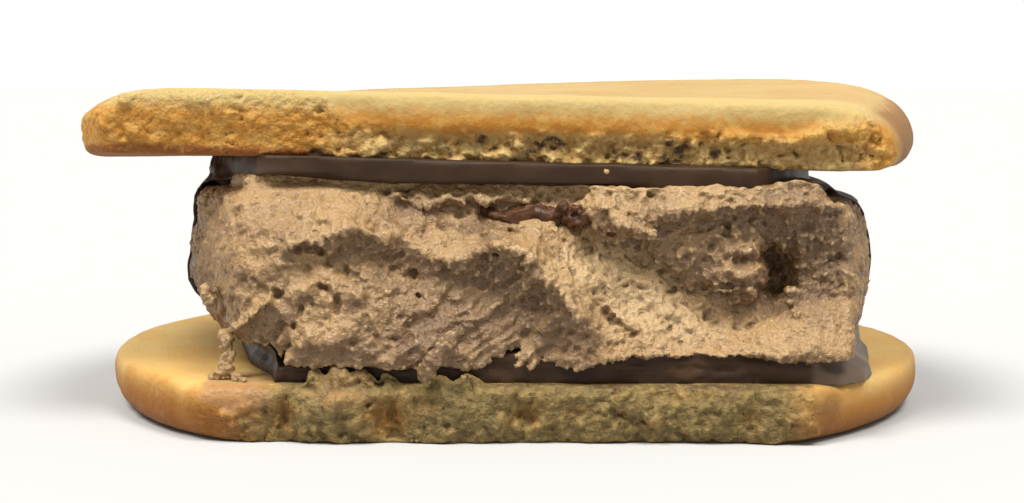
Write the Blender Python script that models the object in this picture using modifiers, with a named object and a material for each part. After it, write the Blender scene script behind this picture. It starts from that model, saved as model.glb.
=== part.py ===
"""Chocolate sandwich biscuit, bitten open along its front.

Two round golden biscuits hold a puck of whipped cream coated in thin chocolate. The lower
biscuit lies flat side up; the upper one lies flat side down, set a little forward and
slightly twisted. The bite goes through every layer, a little deeper the higher it is.
"""

from math import atan2, cos, exp, pi, sin, tanh

import bmesh
import bpy
from mathutils import Vector

MM = 0.001

# Lower biscuit
LOWER_RADIUS = 35.0 * MM
LOWER_THICKNESS = 4.5 * MM
LOWER_BASE_RADIUS = 32.9 * MM      # the flat that it rests on
LOWER_BITE_Y = -25.8 * MM

# Upper biscuit
UPPER_RADIUS = 35.0 * MM
UPPER_THICKNESS = 5.2 * MM
UPPER_CENTRE = (-1.5 * MM, -4.7 * MM)
UPPER_BITE_Y = -21.4 * MM
UNDERSIDE_HEIGHT = 21.15 * MM      # the upper biscuit's underside, at the middle of its bite
UNDERSIDE_SLOPE = (-0.0223, 0.0135)
UNDERSIDE_TWIST = 2.8              # per metre, lifts the right side and lowers the left towards the back
TWIST_REACH = 22.0 * MM            # the twist levels off this far behind the bite
EDGE_ROUNDING = 5.5 * MM           # how far in the upper biscuit's top edge starts to fall
EDGE_DROP = 3.7 * MM
UNDER_ROUNDING = 0.9 * MM           # and its bottom edge

# Coated puck
PUCK_CENTRE = (1.25 * MM, -5.95 * MM)
PUCK_BITE_Y = -24.4 * MM
TOP_LAYER_BITE_Y = -22.3 * MM      # the layer under the upper biscuit broke off further back
NECK_RADIUS = 25.0 * MM
SHOULDER_HEIGHT = 18.5 * MM
SHOULDER_CURVE = [(0.5, 0.0), (2.0, 0.4), (3.0, 1.2)]    # millimetres out from the neck, and down
BARREL_RADIUS = 29.0 * MM
BARREL_CURVE = [(0.5, 15.9), (0.1, 14.2), (0.0, 12.5), (0.15, 10.8), (0.6, 9.2)]    # in, and height
WAIST_RADIUS = 27.8 * MM
WAIST_HEIGHT = 7.8 * MM
FOOT_RADIUS = 28.8 * MM
NECK_LEAN = 1.5 * MM               # the neck reaches further out on the left
FOOT_LOBE = 1.9 * MM               # chocolate that ran out at the right front
FOOT_LOBE_ANGLE = -0.55
FOOT_LOBE_SPREAD = 0.16
LEFT_TUCK = 2.4 * MM               # the foot is drawn in on the left
LEFT_LIFT = 1.1 * MM               # and the shoulder stands higher there
TOP_LAYER = 1.5 * MM
BOTTOM_LAYER = 2.1 * MM
SIDE_WALL = 0.55 * MM
SHELL_TORN_Y = -8.0 * MM           # the thin side wall is broken back to here
SHELL_TORN_LOW = 9.0 * MM
SHELL_TORN_LOW_LEFT = 6.6 * MM     # only a scrap of it is left at the left
SHELL_TORN_HIGH = 18.9 * MM        # up to the layer under the upper biscuit
SHELL_TEAR_RUN = 0.4 * MM

# Torn face of the cream: (across, value) pairs in millimetres, read from left to right.
# Below the lip the cream bulges forward; above it the face steps back.
LIP_HEIGHTS = [(-26.0, 15.0), (-14.0, 15.4), (-7.0, 14.0), (-3.0, 14.4), (1.7, 15.2),
               (3.6, 12.9), (5.2, 10.2), (7.0, 8.4), (13.5, 7.3), (24.0, 8.2)]
LIP_BULGES = [(-26.0, 1.4), (-18.0, 1.9), (-7.0, 1.6), (1.7, 1.8), (7.0, 0.9), (24.0, 0.4)]
STEP_DEPTHS = [(-26.0, 2.6), (-14.0, 3.4), (-7.0, 4.9), (1.7, 4.8), (7.0, 4.6), (24.0, 4.4)]
STEP_HEIGHTS = [(-26.0, 5.0), (-14.0, 4.6), (-7.0, 2.2), (1.7, 1.8), (7.0, 5.2), (13.5, 4.2),
                (24.0, 3.6)]

# Caramel ribbon in the cream
RIBBON_CENTRE = (2.1 * MM, -20.6 * MM, 17.0 * MM)
RIBBON_HALF_SIZE = (4.6 * MM, 2.0 * MM, 1.0 * MM)
RIBBON_LEAN = -0.06

FIT_GAP = 0.3 * MM
TURN_STEPS = 56
ARC_POINTS = 6

COLORS = {
    "biscuit": (0.72, 0.42, 0.13),
    "cream": (0.47, 0.31, 0.18),
    "chocolate": (0.055, 0.028, 0.016),
    "caramel": (0.16, 0.055, 0.02),
}


def bell(value, middle, width):
    """1 at the middle, falling smoothly to 0 over about twice the width."""
    return exp(-((value - middle) / width) ** 2)


def rise(value, start, end):
    """Smooth step from 0 at start to 1 at end."""
    share = min(1.0, max(0.0, (value - start) / (end - start)))
    return share * share * (3.0 - 2.0 * share)


def arc(centre, radii, start, end, points=ARC_POINTS):
    """Points of an elliptical arc in the profile's plane, angles in radians."""
    angles = [start + (end - start) * i / points for i in range(points + 1)]
    return [(centre[0] + radii[0] * cos(a), centre[1] + radii[1] * sin(a)) for a in angles]


def cap(radius, height, inward):
    """A flat end of a profile, in rings so that it can follow a twisted surface."""
    shares = [0.0, 0.4, 0.75, 1.0]
    points = [(radius * share, height) for share in shares]
    return points[::-1] if inward else points


def underside(x, y):
    """Height of the upper biscuit's underside, which tilts and twists a little."""
    across = x - UPPER_CENTRE[0]
    back = y - UPPER_BITE_Y
    tilt = UNDERSIDE_SLOPE[0] * across + UNDERSIDE_SLOPE[1] * back
    twist = UNDERSIDE_TWIST * across * TWIST_REACH * tanh(back / TWIST_REACH)
    return UNDERSIDE_HEIGHT + tilt + twist


def lower_bite(x, z):
    return LOWER_BITE_Y + 0.25 * MM * sin(x / (5.2 * MM)) + 0.15 * MM * sin(z / MM + 1.0)


def upper_bite(x, z):
    return UPPER_BITE_Y + 0.25 * MM * sin(x / (6.1 * MM) + 1.3) - 0.12 * MM * sin(z / MM)


def coating_bite(x, z):
    """The upper and lower layers break off straight; between them the thin wall is torn well back."""
    right_share = rise(x, -15.0 * MM, 5.0 * MM)
    low = SHELL_TORN_LOW_LEFT + right_share * (SHELL_TORN_LOW - SHELL_TORN_LOW_LEFT)
    high = SHELL_TORN_HIGH + underside(x, PUCK_BITE_Y) - UNDERSIDE_HEIGHT
    above_low = rise(z, low - SHELL_TEAR_RUN, low + SHELL_TEAR_RUN)
    above_high = rise(z, high - SHELL_TEAR_RUN, high + SHELL_TEAR_RUN)
    bite = PUCK_BITE_Y + above_low * (SHELL_TORN_Y - PUCK_BITE_Y)
    bite += above_high * (TOP_LAYER_BITE_Y - SHELL_TORN_Y)
    return bite + 0.1 * MM * sin(x / (3.0 * MM))


def along(pairs, value):
    """Smooth interpolation through (place, value) pairs."""
    if value <= pairs[0][0]:
        return pairs[0][1]
    for (x0, y0), (x1, y1) in zip(pairs, pairs[1:]):
        if value <= x1:
            return y0 + (y1 - y0) * rise(value, x0, x1)
    return pairs[-1][1]


def cream_bite(x, z):
    """Torn cream: a full lobe on the left, a lower one in the middle, a hollow on the right."""
    across = x / MM
    height = z / MM
    lip = along(LIP_HEIGHTS, across)
    above = rise(height, lip, lip + along(STEP_HEIGHTS, across))
    depth = above * along(STEP_DEPTHS, across) - along(LIP_BULGES, across)
    depth -= 0.6 * rise(height, 5.0, 9.0) * (1.0 - above) * bell(across, -14.0, 9.0)
    right = rise(across, 6.0, 11.0)
    depth += 2.2 * right * bell(height, 13.6, 2.6)                 # hollow under the ledge
    depth -= 2.9 * right * rise(height, 15.4, 18.2)                # ledge at the top
    depth -= 1.8 * bell(across, 17.2, 2.2) * bell(height, 12.2, 1.3)    # lump in the hollow
    depth += 2.2 * bell(across, 20.6, 1.5) * bell(height, 13.4, 2.4)    # pocket beside it
    depth += 1.2 * bell(across, 2.0, 5.5) * bell(height, 17.2, 1.4)     # recess of the ribbon
    ends = rise(abs(across - 1.2), 20.5, 24.5)                     # the round side is left whole
    return PUCK_BITE_Y + (depth * (1.0 - ends) - 6.0 * ends) * MM


def make_collection(name):
    collection = bpy.data.collections.new(name)
    bpy.context.scene.collection.children.link(collection)
    return collection


def make_material(name, roughness):
    material = bpy.data.materials.new(name)
    material.use_nodes = True
    shader = material.node_tree.nodes["Principled BSDF"]
    shader.inputs["Base Color"].default_value = (*COLORS[name], 1.0)
    shader.inputs["Roughness"].default_value = roughness
    shader.inputs["Metallic"].default_value = 0.0
    return material


def add_object(name, mesh, collection, material=None):
    item = bpy.data.objects.new(name, mesh)
    collection.objects.link(item)
    if material:
        mesh.materials.append(material)
        mesh.shade_smooth()
        mesh.set_sharp_from_angle(angle=0.7)
    else:
        item.hide_render = True
        item.display_type = "WIRE"
    return item


def turned_mesh(name, profile):
    """Turn a profile, listed from the top centre down its outer side, about Z."""
    outline = bpy.data.meshes.new(name + "_outline")
    points = [(x, 0.0, z) for x, z in profile]
    outline.from_pydata(points, [(i, i + 1) for i in range(len(points) - 1)], [])
    lathe = bpy.data.objects.new(name + "_outline", outline)
    bpy.context.scene.collection.objects.link(lathe)
    screw = lathe.modifiers.new("turn", "SCREW")
    screw.steps = TURN_STEPS
    screw.render_steps = TURN_STEPS
    screw.use_merge_vertices = True
    screw.merge_threshold = 0.00001
    evaluated = lathe.evaluated_get(bpy.context.evaluated_depsgraph_get())
    mesh = bpy.data.meshes.new_from_object(evaluated)
    mesh.name = name
    bpy.data.objects.remove(lathe)
    return mesh


def move_points(mesh, rule):
    for vertex in mesh.vertices:
        vertex.co = rule(vertex.co)
    mesh.update()


def cut(item, cutter, name):
    boolean = item.modifiers.new(name, "BOOLEAN")
    boolean.operation = "DIFFERENCE"
    boolean.solver = "EXACT"
    boolean.object = cutter


def bite_cutter(name, surface, heights, cells, collection):
    """A block in front of the sandwich whose back face is the torn surface."""
    half_width = 40.0 * MM
    front_y = -60.0 * MM
    low, high = heights
    bm = bmesh.new()
    bmesh.ops.create_grid(bm, x_segments=cells[0], y_segments=cells[1], size=1.0)
    for vertex in bm.verts:
        x = vertex.co.x * half_width
        z = low + (high - low) * (vertex.co.y + 1.0) / 2.0
        vertex.co = Vector((x, surface(x, z), z))
    grown = bmesh.ops.extrude_face_region(bm, geom=bm.faces[:], use_keep_orig=True)
    for vertex in grown["geom"]:
        if isinstance(vertex, bmesh.types.BMVert):
            vertex.co.y = front_y
    bmesh.ops.recalc_face_normals(bm, faces=bm.faces)
    mesh = bpy.data.meshes.new(name)
    bm.to_mesh(mesh)
    bm.free()
    return add_object(name, mesh, collection)


def lower_biscuit(parts, cutters, material):
    """Flat side up, rounded side down on its flat base."""
    top_edge = 0.8 * MM
    base_edge = LOWER_RADIUS - LOWER_BASE_RADIUS
    base_height = 2.5 * MM
    profile = [(0.0, LOWER_THICKNESS)]
    profile += arc((LOWER_RADIUS - top_edge, LOWER_THICKNESS - top_edge), (top_edge, top_edge),
                   pi / 2, 0.0, 4)
    profile += arc((LOWER_BASE_RADIUS, base_height), (base_edge, base_height), 0.0, -pi / 2)
    profile += [(0.0, 0.0)]
    mesh = turned_mesh("bottom_biscuit", profile)

    def uneven(point):
        angle = atan2(point.y, point.x)
        swell = 1.0 + 0.004 * sin(3.0 * angle + 0.6) + 0.003 * sin(5.0 * angle + 2.0)
        return Vector((point.x * swell, point.y * swell, point.z))

    move_points(mesh, uneven)
    item = add_object("bottom_biscuit", mesh, parts, material)
    cutter = bite_cutter("bite_in_bottom_biscuit", lower_bite, (-3.0 * MM, 8.0 * MM), (60, 8),
                         cutters)
    cut(item, cutter, "bite")
    return item


def upper_biscuit(parts, cutters, material):
    """Flat side down, with a low rounded top; it follows its tilted, twisted underside."""
    side_height = UPPER_THICKNESS - EDGE_DROP
    profile = cap(UPPER_RADIUS - EDGE_ROUNDING, UPPER_THICKNESS, False)[:-1]
    profile += arc((UPPER_RADIUS - EDGE_ROUNDING, side_height), (EDGE_ROUNDING, EDGE_DROP),
                   pi / 2, 0.0, 8)
    profile += arc((UPPER_RADIUS - UNDER_ROUNDING, side_height), (UNDER_ROUNDING, side_height), 0.0,
                   -pi / 2, 4)[1:]
    profile += cap(UPPER_RADIUS - UNDER_ROUNDING, 0.0, True)[1:]
    mesh = turned_mesh("top_biscuit", profile)

    def seated(point):
        x = point.x + UPPER_CENTRE[0]
        y = point.y + UPPER_CENTRE[1]
        return Vector((x, y, point.z + underside(x, y)))

    move_points(mesh, seated)
    item = add_object("top_biscuit", mesh, parts, material)
    cutter = bite_cutter("bite_in_top_biscuit", upper_bite, (15.0 * MM, 32.0 * MM), (60, 12),
                         cutters)
    cut(item, cutter, "bite")
    return item


def puck_profile(inset, top, bottom):
    """Outer side of the puck from top to bottom, moved in by the inset."""
    neck = NECK_RADIUS - inset
    profile = cap(neck, top, False)
    profile.append((neck, min(top - 0.1 * MM, SHOULDER_HEIGHT + 0.2 * MM)))
    for out, down in SHOULDER_CURVE:
        profile.append((neck + out * MM, SHOULDER_HEIGHT - down * MM - inset * (1.2 - down) / 1.2))
    for back, height in BARREL_CURVE:
        profile.append((BARREL_RADIUS - back * MM - inset, height * MM))
    profile.append((WAIST_RADIUS - inset, WAIST_HEIGHT))
    flare = 0.0 if inset else 0.15 * MM
    profile.append((WAIST_RADIUS + flare - inset, max(6.7 * MM, bottom + 0.2 * MM)))
    return profile


def seat_puck(point, foot_share):
    """Place a puck point: centre it, lean the neck, run the foot out, follow the underside."""
    angle = atan2(point.y, point.x)
    radius = point.xy.length
    neck_share = rise(point.z, 16.5 * MM, 19.0 * MM) * rise(radius, 10.0 * MM, 24.0 * MM)
    radius -= NECK_LEAN * cos(angle) * neck_share
    radius += FOOT_LOBE * foot_share * bell(angle, FOOT_LOBE_ANGLE, FOOT_LOBE_SPREAD)
    tuck_share = (1.0 - rise(point.z, 5.0 * MM, 11.0 * MM)) * rise(radius, 10.0 * MM, 26.0 * MM)
    radius -= LEFT_TUCK * tuck_share * max(0.0, -cos(angle + 0.3))
    lift = LEFT_LIFT * max(0.0, -cos(angle)) * bell(point.z, 18.2 * MM, 1.5 * MM)
    lift *= rise(radius, 20.0 * MM, 25.0 * MM)
    x = PUCK_CENTRE[0] + radius * cos(angle)
    y = PUCK_CENTRE[1] + radius * sin(angle)
    lift += (underside(x, y) - UNDERSIDE_HEIGHT) * rise(point.z, 7.0 * MM, 19.0 * MM)
    return Vector((x, y, point.z + lift))


def chocolate_coating(parts, cutters, material):
    """Outer puck with a foot at its base, hollowed for the cream, then bitten."""
    top = UNDERSIDE_HEIGHT - FIT_GAP
    bottom = LOWER_THICKNESS + FIT_GAP
    profile = puck_profile(0.0, top, bottom)
    profile += [(FOOT_RADIUS - 0.8 * MM, 5.8 * MM), (FOOT_RADIUS - 0.1 * MM, 5.1 * MM),
                (FOOT_RADIUS, bottom), (0.0, bottom)]
    mesh = turned_mesh("chocolate_coating", profile)
    move_points(mesh, lambda p: seat_puck(p, 1.0 - rise(p.z, bottom, 7.0 * MM)))
    item = add_object("chocolate_coating", mesh, parts, material)

    low = bottom + BOTTOM_LAYER
    inner = puck_profile(SIDE_WALL, top - TOP_LAYER, low)
    inner += [(WAIST_RADIUS - SIDE_WALL, low), (0.0, low)]
    inner_mesh = turned_mesh("cream_space", inner)
    move_points(inner_mesh, lambda p: seat_puck(p, 0.0))
    cut(item, add_object("cream_space", inner_mesh, cutters), "cream_space")

    cutter = bite_cutter("bite_in_coating", coating_bite, (2.0 * MM, 24.0 * MM), (30, 30), cutters)
    cut(item, cutter, "bite")
    return item


def ribbon_mesh(name, grow):
    """A flattened, slightly wavy drop of caramel, larger by grow on every side."""
    bm = bmesh.new()
    bmesh.ops.create_uvsphere(bm, u_segments=18, v_segments=9, radius=1.0)
    for vertex in bm.verts:
        point = vertex.co.copy()
        wave = 0.35 * MM * sin(point.x * 4.0 + 0.5)
        half = [size + grow for size in RIBBON_HALF_SIZE]
        x, y, z = (point.x * half[0], point.y * half[1], point.z * half[2] + wave)
        vertex.co = Vector((x, y, z + RIBBON_LEAN * x)) + Vector(RIBBON_CENTRE)
    mesh = bpy.data.meshes.new(name)
    bm.to_mesh(mesh)
    bm.free()
    return mesh


def cream_filling(parts, cutters, material):
    """Cream inside the coating, torn open at the bite, with a recess for the ribbon."""
    inset = SIDE_WALL + FIT_GAP
    top = UNDERSIDE_HEIGHT - 2.0 * FIT_GAP - TOP_LAYER
    bottom = LOWER_THICKNESS + BOTTOM_LAYER + 2.0 * FIT_GAP
    profile = puck_profile(inset, top, bottom) + [(0.0, bottom)]
    mesh = turned_mesh("cream_filling", profile)
    move_points(mesh, lambda p: seat_puck(p, 0.0))
    item = add_object("cream_filling", mesh, parts, material)
    cutter = bite_cutter("bite_in_cream", cream_bite, (4.0 * MM, 22.0 * MM), (64, 20), cutters)
    cut(item, cutter, "bite")
    recess = add_object("ribbon_recess", ribbon_mesh("ribbon_recess", FIT_GAP), cutters)
    cut(item, recess, "ribbon_recess")
    return item


def caramel_ribbon(parts, material):
    return add_object("caramel_ribbon", ribbon_mesh("caramel_ribbon", 0.0), parts, material)


def centre_on_floor(items, cutters):
    """Parent everything to an empty that puts the middle of the footprint at the origin."""
    bpy.context.view_layer.update()
    graph = bpy.context.evaluated_depsgraph_get()
    points = []
    for item in items:
        mesh = item.evaluated_get(graph).to_mesh()
        points += [item.matrix_world @ vertex.co for vertex in mesh.vertices]
        item.evaluated_get(graph).to_mesh_clear()
    middle = [(min(p[i] for p in points) + max(p[i] for p in points)) / 2.0 for i in (0, 1)]
    holder = bpy.data.objects.new("sandwich", None)
    bpy.context.scene.collection.objects.link(holder)
    holder.location = (-middle[0], -middle[1], -min(p.z for p in points))
    for item in items + cutters:
        item.parent = holder


def main():
    for item in list(bpy.data.objects):
        bpy.data.objects.remove(item)
    parts = make_collection("chocolate_sandwich_biscuit")
    cutters = make_collection("cutters")
    biscuit = make_material("biscuit", 0.7)
    chocolate = make_material("chocolate", 0.4)
    cream = make_material("cream", 0.5)
    caramel = make_material("caramel", 0.25)
    items = [
        lower_biscuit(parts, cutters, biscuit),
        chocolate_coating(parts, cutters, chocolate),
        cream_filling(parts, cutters, cream),
        caramel_ribbon(parts, caramel),
        upper_biscuit(parts, cutters, biscuit),
    ]
    centre_on_floor(items, list(cutters.objects))


main()
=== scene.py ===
from math import cos, radians, sin

import bmesh
import bpy
import numpy as np
from mathutils import Matrix, Vector, noise
from mathutils.bvhtree import BVHTree


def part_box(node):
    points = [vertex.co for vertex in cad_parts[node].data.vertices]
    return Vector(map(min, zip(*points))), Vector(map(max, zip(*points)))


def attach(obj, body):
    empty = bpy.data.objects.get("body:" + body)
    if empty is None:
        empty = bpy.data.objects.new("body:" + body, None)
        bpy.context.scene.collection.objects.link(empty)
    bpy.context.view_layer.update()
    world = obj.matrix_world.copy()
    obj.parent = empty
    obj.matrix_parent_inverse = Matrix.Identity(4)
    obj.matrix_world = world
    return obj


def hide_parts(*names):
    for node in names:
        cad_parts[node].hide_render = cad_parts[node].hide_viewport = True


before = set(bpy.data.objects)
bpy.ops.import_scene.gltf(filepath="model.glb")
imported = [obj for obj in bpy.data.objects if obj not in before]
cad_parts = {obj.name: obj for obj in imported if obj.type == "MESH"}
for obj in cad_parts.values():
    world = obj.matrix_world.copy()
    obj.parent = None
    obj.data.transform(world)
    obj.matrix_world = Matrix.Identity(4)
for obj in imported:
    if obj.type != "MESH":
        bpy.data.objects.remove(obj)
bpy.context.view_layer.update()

scene = bpy.context.scene
mm = 0.001

# everything below is measured from the middle of the bottom biscuit; the top biscuit is an even
# disc set a little to the left of it and forward, so its sides and its back give that middle
topLow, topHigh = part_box("top_biscuit")
topOffset = (-1.5, -4.7)
topRadius = (topHigh.x - topLow.x) / 2
centre = np.array([topLow.x + topRadius - topOffset[0] * mm,
                   topHigh.y - topRadius - topOffset[1] * mm, 0.0])
print("frame loaded, middle at", centre)


# small tools, all working in millimetres from the bottom biscuit's centre

def bell(value, middle, width):  # 1 in the middle, falling off to both sides
    return np.exp(-((value - middle) / width) ** 2)


def rise(value, start, end):  # 0 before the start, 1 after the end, smooth between them
    share = np.clip((value - start) / (end - start), 0.0, 1.0)
    return share * share * (3.0 - 2.0 * share)


def fall(value, start, end):  # 1 before the start, 0 after the end
    return 1 - rise(value, start, end)


def along(pairs, value):  # smooth curve through (place, value) pairs
    out = np.full(np.shape(value), float(pairs[0][1]))
    for (x0, y0), (x1, y1) in zip(pairs, pairs[1:]):
        out = np.where(value > x0, y0 + (y1 - y0) * rise(value, x0, x1), out)
    return out


# soft noise, about -1 to 1; turn and stretch give it a direction
def grain(points, size, seed=0.0, octaves=1, turn=None, stretch=(1.0, 1.0, 1.0), fade=1.0):
    place = np.asarray(points, float)
    if turn is not None:
        place = place @ turn
    place = place / (size * np.array(stretch)) + seed
    if octaves == 1:
        return np.array([noise.noise(p) for p in place.tolist()])
    return np.array([noise.fractal(p, fade, 2.0, octaves) for p in place.tolist()])


def lumps(points, size, seed=0.0, fill=0.85):  # rounded lumps, 1 on top and 0 in the seams
    place = np.asarray(points, float) / size + seed
    near = np.array([noise.voronoi(p)[0][0] for p in place.tolist()])
    return np.sqrt(np.clip(1.0 - (near / fill) ** 2, 0.0, 1.0))


def getPoints(obj):
    flat = np.empty(len(obj.data.vertices) * 3, np.float32)
    obj.data.vertices.foreach_get("co", flat)
    return (flat.reshape(-1, 3).astype(float) - centre) / mm


def setPoints(obj, points):
    flat = (points * mm + centre).astype(np.float32).ravel()
    obj.data.vertices.foreach_set("co", flat)
    obj.data.update()


def getNormals(obj):
    flat = np.empty(len(obj.data.vertices) * 3, np.float32)
    obj.data.vertex_normals.foreach_get("vector", flat)
    return flat.reshape(-1, 3).astype(float)


def getSurface(obj):
    return getPoints(obj), getNormals(obj)


def setMask(obj, name, values):
    layer = obj.data.attributes.get(name) or obj.data.attributes.new(name, "FLOAT", "POINT")
    layer.data.foreach_set("value", np.asarray(values, np.float32))


def addObject(name, mesh):
    obj = bpy.data.objects.new(name, mesh)
    scene.collection.objects.link(obj)
    return obj


def applyModifiers(obj):
    graph = bpy.context.evaluated_depsgraph_get()
    mesh = bpy.data.meshes.new_from_object(obj.evaluated_get(graph))
    old = obj.data
    obj.modifiers.clear()
    obj.data = mesh
    bpy.data.meshes.remove(old)
    mesh.name = obj.name


def copyNode(node, name):
    obj = addObject(name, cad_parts[node].data.copy())
    weld(obj, 0.002 * mm)
    obj.data.materials.clear()
    return obj


def weld(obj, distance):
    bm = bmesh.new()
    bm.from_mesh(obj.data)
    bmesh.ops.remove_doubles(bm, verts=bm.verts, dist=distance)
    bm.to_mesh(obj.data)
    bm.free()


def voxelRemesh(obj, size):
    remesh = obj.modifiers.new("remesh", "REMESH")
    remesh.mode = "VOXEL"
    remesh.voxel_size = size * mm
    applyModifiers(obj)


def smoothSurface(obj, passes, factor=0.5):
    smooth = obj.modifiers.new("smooth", "SMOOTH")
    smooth.factor = factor
    smooth.iterations = passes
    applyModifiers(obj)


def roundWhere(obj, chosen, passes):  # smooths only the chosen points
    group = obj.vertex_groups.new(name="chosen")
    group.add(np.nonzero(chosen)[0].tolist(), 1.0, "REPLACE")
    smooth = obj.modifiers.new("round", "SMOOTH")
    smooth.factor = 0.5
    smooth.iterations = passes
    smooth.vertex_group = "chosen"
    applyModifiers(obj)
    obj.vertex_groups.clear()


def countTriangles(obj):
    return sum(len(p.vertices) - 2 for p in obj.data.polygons)


def thinOut(obj, triangles):
    count = countTriangles(obj)
    if count > triangles:
        decimate = obj.modifiers.new("thin", "DECIMATE")
        decimate.ratio = triangles / count
        applyModifiers(obj)


def dropBits(obj, least):  # removes loose bits with fewer points than that
    bm = bmesh.new()
    bm.from_mesh(obj.data)
    waiting = set(bm.verts)
    while waiting:
        group, edge = set(), {waiting.pop()}
        while edge:
            group |= edge
            edge = {e.other_vert(v) for v in edge for e in v.link_edges} - group
        waiting -= group
        if len(group) < least:
            bmesh.ops.delete(bm, geom=list(group), context="VERTS")
    bm.to_mesh(obj.data)
    bm.free()


def soften(obj, passes):  # where the points and normals would be with the relief smoothed away
    soft = addObject("soft", obj.data.copy())
    smoothSurface(soft, passes, 0.8)
    points, normals = getSurface(soft)
    bpy.data.objects.remove(soft)
    return points, normals


def hollowMask(obj, passes, reach):  # above 0.5 on ridges, below it in hollows
    points, normals = soften(obj, passes)
    lift = ((getPoints(obj) - points) * normals).sum(axis=1)
    return np.clip(0.5 + 0.5 * lift / reach, 0.0, 1.0)


def facing(obj, passes):  # 1 where the softened surface looks up, 0 where it looks down
    return 0.5 + 0.5 * soften(obj, passes)[1][:, 2]


def addClump(parts, place, half, lean=0.0, detail=3):  # an uneven ball, its half sizes in half
    bm = bmesh.new()
    bmesh.ops.create_icosphere(bm, subdivisions=detail, radius=1.0)
    turn = Matrix.Rotation(radians(-lean), 3, "Y")
    unevenness = 0.25 if detail > 2 else 0.5
    for vertex in bm.verts:
        bumpy = 1.0 + unevenness * noise.noise(vertex.co * 1.7 + Vector(place) * 3.1)
        vertex.co = turn @ Vector([c * h * bumpy for c, h in zip(vertex.co, half)])
        vertex.co = Vector(np.array(vertex.co + Vector(place)) * mm + centre)
    mesh = bpy.data.meshes.new("clump")
    bm.to_mesh(mesh)
    bm.free()
    parts.append(addObject("clump", mesh))


def addCurl(parts, path, thick, thin):  # a row of balls close enough to melt into one curl
    points = [Vector(p) for p in path]
    steps = 8
    total = steps * (len(points) - 1)
    for i in range(total + 1):
        start = min(i // steps, len(points) - 2)
        place = points[start].lerp(points[start + 1], i / steps - start)
        radius = thick + (thin - thick) * i / total
        addClump(parts, place, (radius, radius, radius))


def joinAll(obj, parts):
    bpy.ops.object.select_all(action="DESELECT")
    for part in parts:
        part.select_set(True)
    obj.select_set(True)
    bpy.context.view_layer.objects.active = obj
    bpy.ops.object.join()


def finishPiece(obj, node, material):
    obj.data.materials.clear()
    obj.data.materials.append(material)
    obj.data.shade_smooth()
    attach(obj, "root")
    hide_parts(node)
    print(obj.name, "done,", countTriangles(obj), "triangles")


# materials

class NodeSheet:  # a material's node tree with short ways to add and join nodes

    def __init__(self, name):
        self.material = bpy.data.materials.new(name)
        self.material.use_nodes = True
        self.tree = self.material.node_tree
        self.shader = self.tree.nodes["Principled BSDF"]
        self.place = self.add("ShaderNodeTexCoord").outputs["Object"]

    def add(self, kind, **settings):
        node = self.tree.nodes.new(kind)
        for key, value in settings.items():
            setattr(node, key, value)
        return node

    def link(self, source, target):
        self.tree.links.new(source, target)

    def feed(self, socket, value):
        if isinstance(value, bpy.types.NodeSocket):
            self.link(value, socket)
        elif isinstance(value, tuple) and len(value) == 3:
            socket.default_value = (*value, 1.0)
        else:
            socket.default_value = value

    def noise(self, size, detail=4.0, rough=0.55, stretch=(1.0, 1.0, 1.0)):  # size in millimetres
        mapping = self.add("ShaderNodeMapping")
        mapping.inputs["Scale"].default_value = [1.0 / s for s in stretch]
        self.link(self.place, mapping.inputs["Vector"])
        texture = self.add("ShaderNodeTexNoise")
        texture.inputs["Scale"].default_value = 1.0 / (size * mm)
        texture.inputs["Detail"].default_value = detail
        texture.inputs["Roughness"].default_value = rough
        self.link(mapping.outputs["Vector"], texture.inputs["Vector"])
        return texture.outputs["Fac"]

    def mask(self, name):
        return self.add("ShaderNodeAttribute", attribute_name=name).outputs["Fac"]

    def remap(self, value, low, high, newLow=0.0, newHigh=1.0):  # low above high turns it round
        node = self.add("ShaderNodeMapRange", interpolation_type="SMOOTHSTEP")
        ends = {"From Min": low, "From Max": high, "To Min": newLow, "To Max": newHigh}
        for socket, number in ends.items():
            node.inputs[socket].default_value = number
        self.link(value, node.inputs["Value"])
        return node.outputs["Result"]

    def math(self, operation, a, b=0.0):
        node = self.add("ShaderNodeMath", operation=operation)
        self.feed(node.inputs[0], a)
        self.feed(node.inputs[1], b)
        return node.outputs["Value"]

    def mix(self, share, a, b):
        node = self.add("ShaderNodeMix", data_type="RGBA")
        self.feed(node.inputs[0], share)
        self.feed(node.inputs[6], a)
        self.feed(node.inputs[7], b)
        return node.outputs[2]

    def bump(self, height, distance):
        node = self.add("ShaderNodeBump")
        node.inputs["Distance"].default_value = distance * mm
        self.link(height, node.inputs["Height"])
        return node.outputs["Normal"]

    def finish(self, color, roughness, normal=None, **sockets):  # sockets named with _ for their spaces
        self.feed(self.shader.inputs["Base Color"], color)
        self.feed(self.shader.inputs["Roughness"], roughness)
        if normal:
            self.link(normal, self.shader.inputs["Normal"])
        for name, value in sockets.items():
            self.shader.inputs[name.replace("_", " ")].default_value = value
        return self.material


brightness = 1.9  # how much brighter than its own colour a white surface looks under the key light


def tint(red, green, blue):  # a colour as it looks when lit, 0 to 255, as the surface's own linear colour
    return tuple(((c / 255 + 0.055) / 1.055) ** 2.4 / brightness for c in (red, green, blue))


# the two biscuits

biscuitLook = {
    "roughVoxel": 0.42,
    "voxel": 0.19,
    "triangles": 185000,
    "crustPasses": 14,      # how much the crust is smoothed
    "crumbLeast": 0.24,     # sizes of the clinging crumbs
    "crumbSpread": 0.5,
    "hollowPasses": 16,
    "hollowReach": 0.34,    # relief that counts as fully raised or sunk
    "crustUnder": tint(170, 104, 38),
    "freckle": tint(200, 138, 68),
    "rim": tint(150, 100, 58),
    # chocolate smears, and painted shadow along the bottom biscuit's front edge under the chocolate
    "smearAndShadow": tint(104, 77, 54),
    # colour of the wet smear on the biscuit; on the cream a colour of this name is painted shade
    "wetAndPaintedShade": tint(208, 158, 108),
}

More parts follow.
